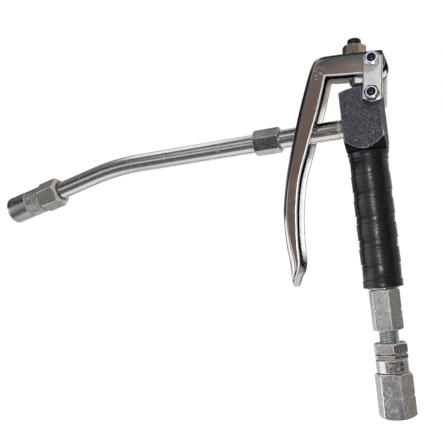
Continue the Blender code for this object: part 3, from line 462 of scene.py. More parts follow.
def grip_look():
    """Black rubbery sleeve: faint mottling, dusty specks and scuffs along the bands' edges."""
    look = Look("grip_rubber", 0.0)
    mottle = look.rise(look.noise(3.0, 3.0), 0.35, 0.7)
    dust = look.rise(look.noise(0.7, 2.0, shift=2.4), 0.66, 0.76)
    colour = look.blend(mottle, (0.0022, 0.0026, 0.0042), (0.0050, 0.0058, 0.0088))
    colour = look.blend(look.sum("MULTIPLY", dust, 0.4), colour, (0.06, 0.063, 0.07))
    colour = look.blend(look.sum("MULTIPLY", look.edges(0.3), 0.3), colour, (0.05, 0.052, 0.06))
    grain = look.noise(0.9, 3.0, shift=5.5)
    look.bump(grain, 0.09)
    look.shader.inputs["Specular IOR Level"].default_value = 0.68
    return look.finish(colour, look.rise(grain, 0.35, 0.65, 0.20, 0.42))


def plain_look(name, dark, light, rough, metallic, grain=0.5):
    """A small or inner piece: two close tones in grains, with matching roughness."""
    look = Look(name, metallic)
    fine = look.noise(grain, 3.0)
    colour = look.blend(look.rise(fine, 0.35, 0.65), dark, light)
    look.bump(fine, 0.012)
    return look.finish(colour, look.rise(fine, 0.3, 0.7, rough - 0.06, rough + 0.06))


def make_looks():
    """Every material by a short name."""
    worn = (0.90, 0.90, 0.90)
    axial = (9, 1, 1)
    turned = (7, 7, 1)
    return {
        "chrome": chrome_look(),
        # Painted light: the lit margin inside the channel's far wall, beige high and white low; painted
        # shade darkens it down the tip
        "bright": satin_look("chrome_painted_light", (0.88, 0.83, 0.75), (0.97, 0.97, 0.99), 0.05, 0.34,
                             tip=((0.03, 0.03, 0.045), -10, -17.5)),
        # Painted highlight: pale rims along the lever's channel and on the lock nuts' collars
        "rim": satin_look("chrome_painted_highlight", (0.90, 0.89, 0.92), (0.95, 0.95, 0.98), 0.30, 0.30),
        # Painted shade: the dark inside of the lever's channel and of its arm's end, lighter on the nub
        # at its tip
        "deep": satin_look("chrome_shaded", (0.10, 0.095, 0.09), (0.06, 0.058, 0.06), 1.0, 0.30,
                           tip=((0.52, 0.52, 0.53), -22, -23.5)),
        "body": phosphate_look("black_phosphate", (0.025, 0.027, 0.032), (0.104, 0.109, 0.126),
                               (0.72, 0.72, 0.72), 0.62, 0.6, 0.12),
        # Painted shade: the valve head's downward faces
        "body_shade": phosphate_look("black_phosphate_painted_shade", (0.005, 0.005, 0.0055), (0.014, 0.014, 0.016),
                                    (0.05, 0.05, 0.05), 0.55, 0.3, 0.10),
        "black": phosphate_look("black_oxide", (0.006, 0.006, 0.0065), (0.016, 0.016, 0.018),
                                (0.14, 0.13, 0.12), 0.30, 0.15, 0.5),
        "grip": grip_look(),
        "adapter": plated_look("zinc_granular", (0.42, 0.42, 0.41), (0.88, 0.88, 0.87), 0.72, 0.30, worn,
                               relief=0.024),
        "locknut": plated_look("zinc_grey", (0.50, 0.50, 0.49), (0.74, 0.74, 0.72), 0.55, 0.26, worn,
                               relief=0.018),
        "flange": plated_look("zinc_brown", (0.50, 0.46, 0.40), (0.70, 0.66, 0.58), 0.55, 0.22, worn,
                              relief=0.012),
        "swivel": plated_look("zinc_mauve", (0.40, 0.385, 0.395), (0.76, 0.735, 0.745), 0.70, 0.30, worn,
                              relief=0.024, slant=0.65, rub=0.64),
        "thread": plated_look("zinc_blue", (0.56, 0.61, 0.63), (0.70, 0.75, 0.77), 0.6, 0.36, worn,
                              relief=0.006, edge=0.05),
        "link": plated_look("zinc_matt", (0.46, 0.46, 0.455), (0.76, 0.76, 0.75), 0.60, 0.40, worn,
                            relief=0.02, edge=0.5, metal=0.4),
        "bare": plated_look("zinc_rubbed", (0.80, 0.80, 0.80), (0.92, 0.92, 0.92), 0.6, 0.18, worn,
                            relief=0.004),
        # Painted shade: the lower lock nut under the arm, and a band round each link's edge
        "zinc_shade": plated_look("zinc_painted_shade", (0.05, 0.05, 0.052), (0.13, 0.13, 0.135), 0.5, 0.20, worn,
                                relief=0.008, edge=0.3),
        "nut": plated_look("zinc_bright", (0.62, 0.62, 0.64), (0.80, 0.80, 0.82), 0.5, 0.16, worn,
                           relief=0.008, metal=0.85),
        "gold_nut": plated_look("zinc_yellowed", (0.25, 0.195, 0.165), (0.50, 0.415, 0.36),
                                0.65, 0.22, worn,
                                relief=0.015, edge=0.2, metal=0.9),
        "collar": plated_look("steel_polished", (0.52, 0.49, 0.51), (0.62, 0.59, 0.61), 0.9, 0.08, worn,
                              relief=0.005, lines=(0.4, turned), slant=0.65, rub=0.62),
        "neck": plated_look("tube_bright", (0.64, 0.63, 0.61), (0.76, 0.75, 0.74), 1.0, 0.12, worn,
                            relief=0.005, lines=(0.3, axial)),
        "tube": plated_look("tube_satin", (0.62, 0.62, 0.61), (0.74, 0.74, 0.73), 0.7, 0.18, worn,
                            relief=0.005, lines=(0.3, axial)),
        "coupling": plated_look("steel_dark", (0.14, 0.14, 0.135), (0.52, 0.52, 0.51), 0.55, 0.26, worn,
                                relief=0.035),
        "coupler": plated_look("steel_olive", (0.41, 0.42, 0.385), (0.55, 0.56, 0.52), 0.6, 0.26, worn,
                               relief=0.008),
        "nose": plated_look("steel_turned", (0.42, 0.43, 0.43), (0.52, 0.53, 0.525), 0.7, 0.28, worn,
                            relief=0.005, lines=(0.4, axial)),
        "knurl": plated_look("steel_knurled", (0.45, 0.45, 0.43), (0.60, 0.60, 0.58), 0.6, 0.34,
                             (0.72, 0.72, 0.70), relief=0.006, edge=0.05),
        "edge": plated_look("zinc_edges", (0.58, 0.58, 0.57), (0.80, 0.80, 0.79), 0.6, 0.28, worn,
                            relief=0.008, edge=0.1, metal=0.55),
        # Painted shade: the swivel hexagon's lower, downward-facing chamfers
        "brown": plated_look("zinc_painted_shade_below", (0.12, 0.095, 0.08), (0.30, 0.25, 0.21), 0.7, 0.30, worn,
                             relief=0.008, edge=0.1),
        "braze": plain_look("copper_braze", (0.16, 0.055, 0.035), (0.42, 0.18, 0.12), 0.42, 0.8, 0.6),
        "nylon": plain_look("blue_nylon", (0.04, 0.025, 0.30), (0.09, 0.06, 0.55), 0.40, 0.0),
        "brass": plain_look("brass_turned", (0.46, 0.33, 0.14), (0.60, 0.46, 0.22), 0.34, 1.0),
        "seal": plain_look("seal_rubber", (0.020, 0.018, 0.016), (0.045, 0.040, 0.036), 0.60, 0.0),
        "spring": plain_look("spring_steel", (0.34, 0.34, 0.35), (0.50, 0.50, 0.51), 0.28, 1.0),
        "steel": plain_look("steel_bare", (0.40, 0.40, 0.40), (0.62, 0.62, 0.62), 0.30, 1.0),
    }


def even_angles(start=0.0, sides=SIDES):
    return [start + TAU * i / sides for i in range(sides)]


def lathe(rows, angles=None):
    """A turned bmesh from rows of (radius, height) or (radius, height, cut).

    cut(angle, radius, height) gives a ring's radius at an angle. Rows that start on the axis end on
    it and make a solid; otherwise the last row joins the first and makes a ring.
    """
    angles = angles or even_angles()
    shape = bmesh.new()
    rings = []
    for radius, height, *cuts in rows:
        if radius == 0:
            rings.append([shape.verts.new((0, 0, height))])
            continue
        ring = []
        for angle in angles:
            reach = cuts[0](angle, radius, height) if cuts else radius
            ring.append(shape.verts.new((reach * math.sin(angle), -reach * math.cos(angle), height)))
        rings.append(ring)
    pairs = list(zip(rings, rings[1:]))
    if rows[0][0] > 0:
        pairs.append((rings[-1], rings[0]))
    for upper, lower in pairs:
        for i in range(len(angles)):
            j = (i + 1) % len(angles)
            corners = [upper[i % len(upper)], lower[i % len(lower)], lower[j % len(lower)],
                       upper[j % len(upper)]]
            shape.faces.new(list(dict.fromkeys(corners)))
    bmesh.ops.recalc_face_normals(shape, faces=shape.faces)
    return shape


def loft(rings):
    """A closed bmesh skinned over rings of equally many points, with both ends capped."""
    shape = bmesh.new()
    loops = [[shape.verts.new(point) for point in ring] for ring in rings]
    for first, second in zip(loops, loops[1:]):
        for i in range(len(first)):
            j = (i + 1) % len(first)
            shape.faces.new((first[i], first[j], second[j], second[i]))
    shape.faces.new(loops[0])
    shape.faces.new(loops[-1])
    bmesh.ops.recalc_face_normals(shape, faces=shape.faces)
    return shape


def hex_angles(across, turn):
    """Ring angles for a hexagon: close ones over each flat, none on its blunted corners."""
    off = math.acos(across / 2 / (across / math.sqrt(3) - HEX_BLUNT))
    angles = []
    for side in range(6):
        middle = turn + TAU * side / 6
        angles += [middle - off + 2 * off * i / HEX_STEPS for i in range(HEX_STEPS + 1)]
    return angles


def hexagon(across, turn):
    """A cut that trims rings to a hexagon with a flat at the turn angle and blunted corners."""
    corner = across / math.sqrt(3) - HEX_BLUNT

    def cut(angle, radius, height):
        off = (angle - turn + math.pi / 6) % (math.pi / 3) - math.pi / 6
        return min(radius, across / 2 / math.cos(off), corner)
    return cut


def helical(pitch, depth):
    """A cut that winds a vee thread into a round part."""
    def cut(angle, radius, height):
        phase = (height / pitch - angle / TAU) % 1.0
        return radius - depth * abs(2 * phase - 1)
    return cut


def knurled(teeth, pitch, depth):
    """A cut that crosses two sets of slanting grooves into a diamond knurl."""
    def cut(angle, radius, height):
        around = angle * teeth / TAU
        grooves = [abs(2 * ((around + side * height / pitch) % 1.0) - 1) for side in (-1, 1)]
        return radius - depth * max(grooves)
    return cut


def hex_rows(across, turn, top, foot, ease_top=0.25, ease_foot=0.25, nick=None, slope=HEX_SLOPE):
    """Rows down the outside of a hexagon, its ends turned at a slope; a nick marks its corners."""
    cut = hexagon(across, turn)
    corner = across / math.sqrt(3)
    steps = 9
    rows = []
    face = across / 2 - ease_top
    for i in range(steps + 1):
        radius = face + (corner - face) * i / steps
        rows.append((radius, top - (radius - face) * slope, cut))
    if nick is not None:
        for shift, depth in ((0.55, 0), (0.3, 0.30), (-0.3, 0.30), (-0.55, 0)):
            rows.append((corner - HEX_BLUNT - depth, nick + shift, cut))
    face = across / 2 - ease_foot
    for i in range(steps, -1, -1):
        radius = face + (corner - face) * i / steps
        rows.append((radius, foot + (radius - face) * slope, cut))
    return rows


def hex_shape(rows, across, turn):
    """A turned hexagon: its second material on corners and upper chamfers, its third on lower ones."""
    angles = hex_angles(across, turn)
    shape = lathe(rows, angles)
    for index, face in enumerate(shape.faces):
        slope = face.normal.z
        corner = index % len(angles) % (HEX_STEPS + 1) == HEX_STEPS
        if 0.2 < abs(slope) < 0.98:
            face.material_index = 1 if slope > 0 else 2
        elif corner and abs(slope) < 0.2:
            face.material_index = 1
    return shape


def dome_rows(radius, height, top, steps=8):
    """Rows from the axis down a dome to its full radius."""
    rows = [(0, top)]
    for i in range(1, steps + 1):
        angle = math.pi / 2 * i / steps
        rows.append((radius * math.sin(angle), top - height * (1 - math.cos(angle))))
    return rows


def thread_rows(radius, top, foot, pitch, depth):
    """Close rows that a thread can show in, fading in and out over one turn at its ends."""
    count = int((top - foot) / pitch * 8)
    rows = []
    for i in range(count + 1):
        height = top + (foot - top) * i / count
        fade = min(1.0, (top - height) / pitch + 0.05, (height - foot) / pitch + 0.05)
        rows.append((radius, height, helical(pitch, depth * fade)))
    return rows


def axis_frame(origin, along, side):
    """The placing matrix, in mm, of a frame with Z along a direction and X to a side."""
    z = Vector(along).normalized()
    x = Vector(side).normalized()
    matrix = Matrix((x, z.cross(x), z)).transposed().to_4x4()
    return Matrix.Translation(origin) @ matrix


def make_piece(name, shape, material, body, nodes=(), place=None):
    """A bmesh in mm becomes a shaded object that rides a body and stands for CAD nodes.

    The material is one, or a list that the faces choose from.
    """
    if place:
        shape.transform(place)
    shape.transform(Matrix.Scale(MM, 4))
    mesh = bpy.data.meshes.new(name)
    shape.to_mesh(mesh)
    shape.free()
    materials = material if isinstance(material, list) else [material]
    return make_object(name, mesh, materials, body, nodes)


def make_object(name, mesh, materials, body, nodes):
    mesh.shade_smooth()
    mesh.set_sharp_from_angle(angle=SHARP)
    for material in materials:
        mesh.materials.append(material)
    obj = bpy.data.objects.new(name, mesh)
    bpy.context.scene.collection.objects.link(obj)
    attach(obj, body)
    if nodes:
        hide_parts(*nodes)
    return obj


def cut_away(shape, tools, materials=()):
    """A bmesh less some closed bmeshes, as a new bmesh; all are in mm. Faces keep their materials."""
    objects = []
    for bm in [shape, *tools]:
        mesh = bpy.data.meshes.new("cut")
        bm.to_mesh(mesh)
        bm.free()
        obj = bpy.data.objects.new("cut", mesh)
        bpy.context.scene.collection.objects.link(obj)
        objects.append(obj)
    target = objects[0]
    for material in materials:
        target.data.materials.append(material)
    for tool in objects[1:]:
        modifier = target.modifiers.new("cut", "BOOLEAN")
        modifier.object = tool
        modifier.operation = "DIFFERENCE"
        modifier.solver = "EXACT"
    bpy.context.view_layer.update()
    depsgraph = bpy.context.evaluated_depsgraph_get()
    result = bmesh.new()
    result.from_mesh(target.evaluated_get(depsgraph).to_mesh())
    for obj in objects:
        mesh = obj.data
        bpy.data.objects.remove(obj, do_unlink=True)
        bpy.data.meshes.remove(mesh)
    return result


def slab(outline, stations):
    """A plate across Y from an (x, z) outline; stations are (y, inset) pairs that round its edges."""
    count = len(outline)
    normals = []
    for i in range(count):
        before = Vector(outline[i]) - Vector(outline[i - 1])
        after = Vector(outline[(i + 1) % count]) - Vector(outline[i])
        along = before.normalized() + after.normalized()
        normals.append(Vector((-along.y, along.x)).normalized())
    rings = []
    for y, inset in stations:
        rings.append([(x + inset * n.x, y, z + inset * n.y) for (x, z), n in zip(outline, normals)])
    return loft(rings)


def arc(centre, radius, start, end, steps):
    """Points of an arc in a plane, angles in radians."""
    angles = [start + (end - start) * i / steps for i in range(steps + 1)]
    return [(centre[0] + radius * math.cos(a), centre[1] + radius * math.sin(a)) for a in angles]


def make_valve_body(looks):
    half_width = BAR_WIDTH / 2
    half_depth = BAR_DEPTH / 2
    corner = math.hypot(half_width, half_depth) - BAR_CORNER

    def bar(angle, radius, height):
        across = abs(math.sin(angle)) / half_width
        deep = abs(math.cos(angle)) / half_depth
        return min(radius, 1 / max(across, deep), corner)

    quarter = math.atan2(half_width, half_depth)
    corners = [quarter, math.pi - quarter, math.pi + quarter, TAU - quarter]
    eased = [c + side * math.radians(0.9) for c in corners for side in (-1, 1)]
    angles = sorted(a % TAU for a in even_angles() + corners + eased)
    rows = [(0, BODY_TOP)]
    top_steps = 10
    for i in range(top_steps + 1):
        part = i / top_steps
        rows.append((BODY_TOP_RADIUS + (BODY_TURNED_RADIUS - BODY_TOP_RADIUS) * part,
                     BODY_TOP + (BODY_UPPER_SHOULDER - BODY_TOP) * part, bar))
    foot_steps = 48
    for i in range(foot_steps + 1):
        part = i / foot_steps
        rows.append((BODY_TURNED_RADIUS + (BODY_FOOT_RADIUS - BODY_TURNED_RADIUS) * part,
                     BODY_LOWER_SHOULDER + (BODY_FOOT - BODY_LOWER_SHOULDER) * part, bar))
    rows.append((0, BODY_FOOT))
    shape = lathe(rows, angles)
    bend = (RECESS_LEFT + RECESS_CORNER, RECESS_FLOOR + RECESS_CORNER)
    outline = arc(bend, RECESS_CORNER, math.pi, 1.5 * math.pi, 12)
    outline += [(BAR_WIDTH, RECESS_FLOOR), (BAR_WIDTH, BODY_TOP + 5), (RECESS_LEFT, BODY_TOP + 5)]
    tools = [slab(outline, [(side * RECESS_PLANE, 0), (side * BAR_DEPTH, 0)]) for side in (-1, 1)]
    shape = cut_away(shape, tools)
    # Downward faces take the darker phosphate, a painted shade
    for face in shape.faces:
        face.material_index = int(face.normal.z < -0.3)
    make_piece("valve_head", shape, [looks["body"], looks["body_shade"]], "gun",
               ["valve_body"])


def make_valve_spring(looks):
    """The spring under the valve ball, which the stem squeezes towards its foot."""
    steps, sides = 24, 10
    turns = COIL_TURNS * steps
    rings = []
    for i in range(turns + 1):
        angle = TAU * i / steps
        middle = COIL_FOOT + (COIL_TOP - COIL_FOOT) * i / turns
        ring = []
        for around in even_angles(sides=sides):
            reach = COIL_RADIUS + COIL_WIRE * math.cos(around)
            ring.append((reach * math.cos(angle), reach * math.sin(angle),
                         middle + COIL_WIRE * math.sin(around)))
        rings.append(ring)
    coil = make_piece("valve_coil", loft(rings), looks["spring"], "gun", ["valve_spring"])
    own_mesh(coil)


def make_grip(looks):
    """The banded sleeve: each band leans a little, with a lip and a groove at both of its edges."""
    rows = [(GRIP_BORE, GRIP_TOP), (GRIP_FLARE - 0.9, GRIP_TOP), (GRIP_FLARE - 0.3, GRIP_TOP - 0.2),
            (GRIP_FLARE, GRIP_TOP - 0.7), (GRIP_RADIUS, GRIP_FLARE_END)]

    def edge(height, side, cut):
        """Rows across one band edge; side 1 where the band lies below it."""
        steps = [(GRIP_RECESS, 0.75), (GRIP_RECESS - 0.03, 0.60), (GRIP_RECESS - GRIP_GROOVE, 0.46),
                 (GRIP_RECESS - GRIP_GROOVE, 0.04), (GRIP_RADIUS + GRIP_LIP * 0.7, -0.06),
                 (GRIP_RADIUS + GRIP_LIP, -0.20), (GRIP_RADIUS + GRIP_LIP * 0.5, -0.55),
                 (GRIP_RADIUS, -1.1)]
        for radius, shift in steps[::side]:
            rows.append((radius, height + side * shift, cut))

    def straight(angle, radius, height):
        return radius

    def leaning(middle):
        def cut(angle, radius, height):
            return radius - GRIP_LEAN * math.sin(angle) * (height - middle) / (GRIP_BAND_HEIGHT / 2)
        return cut

    edge(GRIP_COLLAR_END, -1, straight)
    for band in range(GRIP_BANDS):
        top = GRIP_BAND_TOP - band * GRIP_BAND_PITCH
        cut = leaning(top - GRIP_BAND_HEIGHT / 2)
        edge(top, 1, cut)
        edge(top - GRIP_BAND_HEIGHT, -1, cut)
    edge(GRIP_RING_TOP, 1, straight)
    rows += [(GRIP_RADIUS, GRIP_END + 1.4), (GRIP_RADIUS + GRIP_LIP, GRIP_END + 0.8),
             (GRIP_RADIUS, GRIP_END + 0.3), (GRIP_RADIUS - 0.4, GRIP_END), (GRIP_BORE, GRIP_END)]
    make_piece("banded_grip", lathe(rows), looks["grip"], "gun", ["grip_sleeve"])


def make_inlet(looks):
    """Adapter hexagon with its nipple, and the swivel's lock nut, flange, collar and hexagon."""
    middle = (ADAPTER_TOP + ADAPTER_END) / 2
    rows = [(0, ADAPTER_TOP)]
    rows += hex_rows(ADAPTER_ACROSS, ADAPTER_TURN, ADAPTER_TOP, ADAPTER_END, nick=middle)
    rows.append((0, ADAPTER_END))
    edges = [looks["edge"], looks["edge"]]
    make_piece("adapter_hexagon", hex_shape(rows, ADAPTER_ACROSS, ADAPTER_TURN),
               [looks["adapter"]] + edges,
               "gun", ["inlet_adapter"])
    rows = [(FLOW_RADIUS, ADAPTER_END), (NIPPLE_RADIUS - 0.5, ADAPTER_END)]
    rows += thread_rows(NIPPLE_RADIUS, ADAPTER_END - 0.2, NIPPLE_END + 0.4, THREAD_PITCH, THREAD_DEPTH)
    rows += [(NIPPLE_RADIUS - 0.7, NIPPLE_END), (FLOW_RADIUS, NIPPLE_END)]
    make_piece("adapter_nipple", lathe(rows), looks["thread"], "gun")

    bore = NIPPLE_RADIUS + 0.25
    rows = hex_rows(LOCKNUT_ACROSS, LOCKNUT_TURN, LOCKNUT_TOP, LOCKNUT_END)
    rows = [(bore, LOCKNUT_TOP - 0.4), (bore + 0.5, LOCKNUT_TOP)] + rows + [(bore, LOCKNUT_END)]
    make_piece("lock_nut", hex_shape(rows, LOCKNUT_ACROSS, LOCKNUT_TURN), [looks["locknut"]] + edges,
               "gun", ["swivel_locknut"])
    rows = hex_rows(FLANGE_ACROSS, LOCKNUT_TURN, FLANGE_TOP, FLANGE_END, 0.1, 0.1, slope=0.12)
    rows = [(bore, FLANGE_TOP)] + rows + [(bore, FLANGE_END)]
    make_piece("flange_hexagon", lathe(rows, hex_angles(FLANGE_ACROSS, LOCKNUT_TURN)), looks["flange"],
               "gun", ["swivel_flange"])
    ease = 0.35
    rows = [(FLOW_RADIUS, COLLAR_TOP - 2.6), (bore, COLLAR_TOP - 2.6), (bore, COLLAR_TOP)]
    rows += [(COLLAR_RADIUS - ease, COLLAR_TOP), (COLLAR_RADIUS, COLLAR_TOP - ease),
             (COLLAR_RADIUS, COLLAR_END + ease), (COLLAR_RADIUS - ease, COLLAR_END),
             (SPINDLE_RADIUS, COLLAR_END), (SPINDLE_RADIUS, SPINDLE_END + 0.4),
             (SPINDLE_RADIUS - 0.4, SPINDLE_END), (FLOW_RADIUS, SPINDLE_END)]
    make_piece("swivel_ring", lathe(rows), looks["collar"], "gun", ["swivel_collar"])

    middle = (SWIVEL_TOP + SWIVEL_END) / 2
    rows = [(SWIVEL_BORE, SWIVEL_SHOULDER), (SWIVEL_BORE, SWIVEL_TOP)]
    rows += hex_rows(SWIVEL_ACROSS, SWIVEL_TURN, SWIVEL_TOP, SWIVEL_END, 0.3, 0.9, nick=middle)
    rows += [(HOSE_BORE + 0.7, SWIVEL_END), (HOSE_BORE + 0.1, SWIVEL_END + 0.6)]
    rows += thread_rows(HOSE_BORE + 0.4, SWIVEL_SHOULDER, SWIVEL_END + 0.7, THREAD_PITCH, 0.4)[::-1]
    # The swivel's lower chamfers take the brown painted shade
    make_piece("swivel_hexagon", hex_shape(rows, SWIVEL_ACROSS, SWIVEL_TURN),
               [looks["swivel"], looks["bare"], looks["brown"]], "swivel", ["swivel_nut"])


def tube_path():
    """Points along the bent tube as (x, z), from the coupling nut into the coupler."""
    apex = Vector((-BEND_APEX, OUTLET_HEIGHT))
    onward = Vector((-math.cos(BEND_ANGLE), -math.sin(BEND_ANGLE)))
    radius = BEND_TANGENT / math.tan(BEND_ANGLE / 2)
    centre = apex + Vector((BEND_TANGENT, -radius))
    points = [Vector((-TUBE_START - (BEND_APEX - BEND_TANGENT - TUBE_START) * i / 12, OUTLET_HEIGHT))
              for i in range(12)]
    steps = 14
    for i in range(steps + 1):
        angle = BEND_ANGLE * i / steps
        points.append(centre + radius * Vector((-math.sin(angle), math.cos(angle))))
    last = apex + onward * (COUPLER_START + TUBE_IN_COUPLER)
    first = points[-1]
    points += [first + (last - first) * i / 8 for i in range(1, 9)]
    return points


def make_outlet(looks):
    """Neck through the lever, coupling nut, bent tube, and the grease coupler at its end."""
    outlet = axis_frame((0, 0, OUTLET_HEIGHT), (-1, 0, 0), (0, 0, 1))
    groove = [(0, NECK_GROOVE - 0.45), (-0.35, NECK_GROOVE - 0.35), (-0.35, NECK_GROOVE + 0.35),
              (0, NECK_GROOVE + 0.45)]
    rows = [(0, NECK_START), (PIPE_RADIUS - 0.2, NECK_START), (PIPE_RADIUS, NECK_START + 0.2)]
    rows += [(PIPE_RADIUS + depth, along) for depth, along in groove]
    rows += [(PIPE_RADIUS, NECK_END), (0, NECK_END)]
    make_piece("neck_pipe", lathe(rows), looks["neck"], "gun", ["outlet_neck"], outlet)

    bore = PIPE_RADIUS + 0.15
    rows = hex_rows(COUPLING_ACROSS, COUPLING_TURN, COUPLING_END, COUPLING_START, 0.2, 0.2)
    rows = [(bore, COUPLING_END - 0.5), (bore + 0.4, COUPLING_END)] + rows
    rows += [(bore + 0.4, COUPLING_START), (bore, COUPLING_START + 0.5)]
    make_piece("coupling_hexagon", lathe(rows, hex_angles(COUPLING_ACROSS, COUPLING_TURN)),
               looks["coupling"], "gun", ["coupling_nut"], outlet)

    points = tube_path()
    rings = []
    for i, point in enumerate(points):
        along = (points[min(i + 1, len(points) - 1)] - points[max(i - 1, 0)]).normalized()
        up = Vector((along.y, -along.x))
        ring = []
        for angle in even_angles(sides=96):
            reach = PIPE_RADIUS * math.cos(angle)
            ring.append((point.x + reach * up.x, PIPE_RADIUS * math.sin(angle), point.y + reach * up.y))
        rings.append(ring)
    make_piece("bent_tube", loft(rings), looks["tube"], "gun", ["extension_tube"])
    make_coupler(looks)


def make_coupler(looks):
    onward = Vector((-math.cos(BEND_ANGLE), 0, -math.sin(BEND_ANGLE)))
    up = Vector((-math.sin(BEND_ANGLE), 0, math.cos(BEND_ANGLE)))
    rear = Vector((-BEND_APEX, 0, OUTLET_HEIGHT)) + onward * COUPLER_START
    place = axis_frame(rear, onward, up)
    bore = PIPE_RADIUS + 0.1
    rows = hex_rows(COUPLER_ACROSS, COUPLER_TURN, COUPLER_HEX_END, 0, 0.5, 1.3)
    rows = [(bore, COUPLER_HEX_END)] + rows + [(bore + 0.5, 0), (bore, 0.6)]
    make_piece("coupler_hexagon", hex_shape(rows, COUPLER_ACROSS, COUPLER_TURN),
               [looks["coupler"], looks["edge"], looks["edge"]], "gun",
               ["coupler_adapter"], place)
    rows = [(bore - 0.3, 0.6), (bore + 0.5, 0.02), (bore + 0.4, -0.3), (bore - 0.05, -0.65),
            (bore - 0.3, -0.8)]
    make_piece("coupler_braze", lathe(rows, even_angles(sides=72)), looks["braze"], "gun",
               (), place)

    knurl = knurled(66, 1.5, 0.20)
    band = SLEEVE_BAND_END - SLEEVE_START
    count = 46
    rows = [(SLEEVE_BORE, SLEEVE_BAND_END), (SLEEVE_RADIUS - 0.35, SLEEVE_BAND_END)]
    for i in range(count + 1):
        along = SLEEVE_BAND_END - 0.35 - (band - 0.7) * i / count
        rows.append((SLEEVE_RADIUS, along, knurl))
    rows += [(SLEEVE_RADIUS - 0.35, SLEEVE_START), (SLEEVE_BORE, SLEEVE_START)]
    make_piece("coupler_band", lathe(rows, even_angles(sides=264)), looks["knurl"], "gun",
               (), place)
    rows = [(SLEEVE_BORE, SLEEVE_BAND_END), (SLEEVE_BORE, SLEEVE_TAPER), (SLEEVE_MOUTH, SLEEVE_END)]
    rows += [(SLEEVE_RADIUS - 1.1, SLEEVE_END), (SLEEVE_RADIUS - 0.45, SLEEVE_END - 0.2),
             (SLEEVE_RADIUS - 0.1, SLEEVE_END - 0.6), (SLEEVE_RADIUS, SLEEVE_END - 1.2),
             (SLEEVE_RADIUS, SLEEVE_BAND_END + 0.3), (SLEEVE_RADIUS - 0.3, SLEEVE_BAND_END)]
    notch = [(-NOTCH_HALF, SLEEVE_END - NOTCH_DEPTH), (NOTCH_HALF, SLEEVE_END - NOTCH_DEPTH),
             (NOTCH_HALF, SLEEVE_END + 1), (-NOTCH_HALF, SLEEVE_END + 1)]
    shape = cut_away(lathe(rows), [slab(notch, [(-SLEEVE_RADIUS - 1, 0), (-SLEEVE_MOUTH + 1, 0)])])
    make_piece("coupler_nose", shape, looks["nose"], "gun", ["coupler_sleeve"], place)


def pin_frame(pivot):
    """A frame with Z along +Y through an (x, z) pivot, and its own -Y upward."""
    return axis_frame((pivot[0], 0, pivot[1]), (0, 1, 0), (1, 0, 0))


def link_outline():
    """A link's outline as (x, z): two straight sides and two blunt arcs."""
    lower = Vector(LOWER_PIVOT)
    upper = Vector(UPPER_PIVOT)
    along = (upper - lower).normalized()
    across = Vector((along.y, -along.x))
    lean = math.asin(LINK_WIDTH / 2 / LINK_ARC)
    points = []
    for pivot, way in ((upper, 1), (lower, -1)):
        centre = pivot + along * way * (LINK_REACH - LINK_ARC)
        for i in range(13):
            angle = lean - 2 * lean * i / 12
            side = across * (LINK_ARC * math.sin(angle))
            points.append(centre + way * (along * (LINK_ARC * math.cos(angle)) + side))
    return [tuple(p) for p in points]


def make_links(looks):
    outline = link_outline()
    rounding = 0.75
    for name, side in (("near_link", -1), ("far_link", 1)):
        stations = [(LINK_INNER, 0.15), (LINK_INNER + 0.15, 0)]
        for i in range(6):
            angle = math.pi / 2 * i / 5
            stations.append((LINK_OUTER - rounding * (1 - math.sin(angle)),
                             rounding * (1 - math.cos(angle))))
        shape = slab(outline, [(side * y, inset) for y, inset in stations])
        sides, rounded = len(outline), 2 * len(outline)
        for face in list(shape.faces)[sides:-2]:
            face.material_index = 1
        # One band round each link's edge takes the painted shade
        dark = sides if side < 0 else rounded
        for face in list(shape.faces)[dark:dark + len(outline)]:
            face.material_index = 2
        materials = [looks["link"], looks["bare"], looks["zinc_shade"]]
        make_piece(name + "_plate", shape, materials, "links", [name])
    for which, pivot, body in (("lower", LOWER_PIVOT, "gun"), ("upper", UPPER_PIVOT, "links")):
        make_pivot(looks, which, pivot, body)


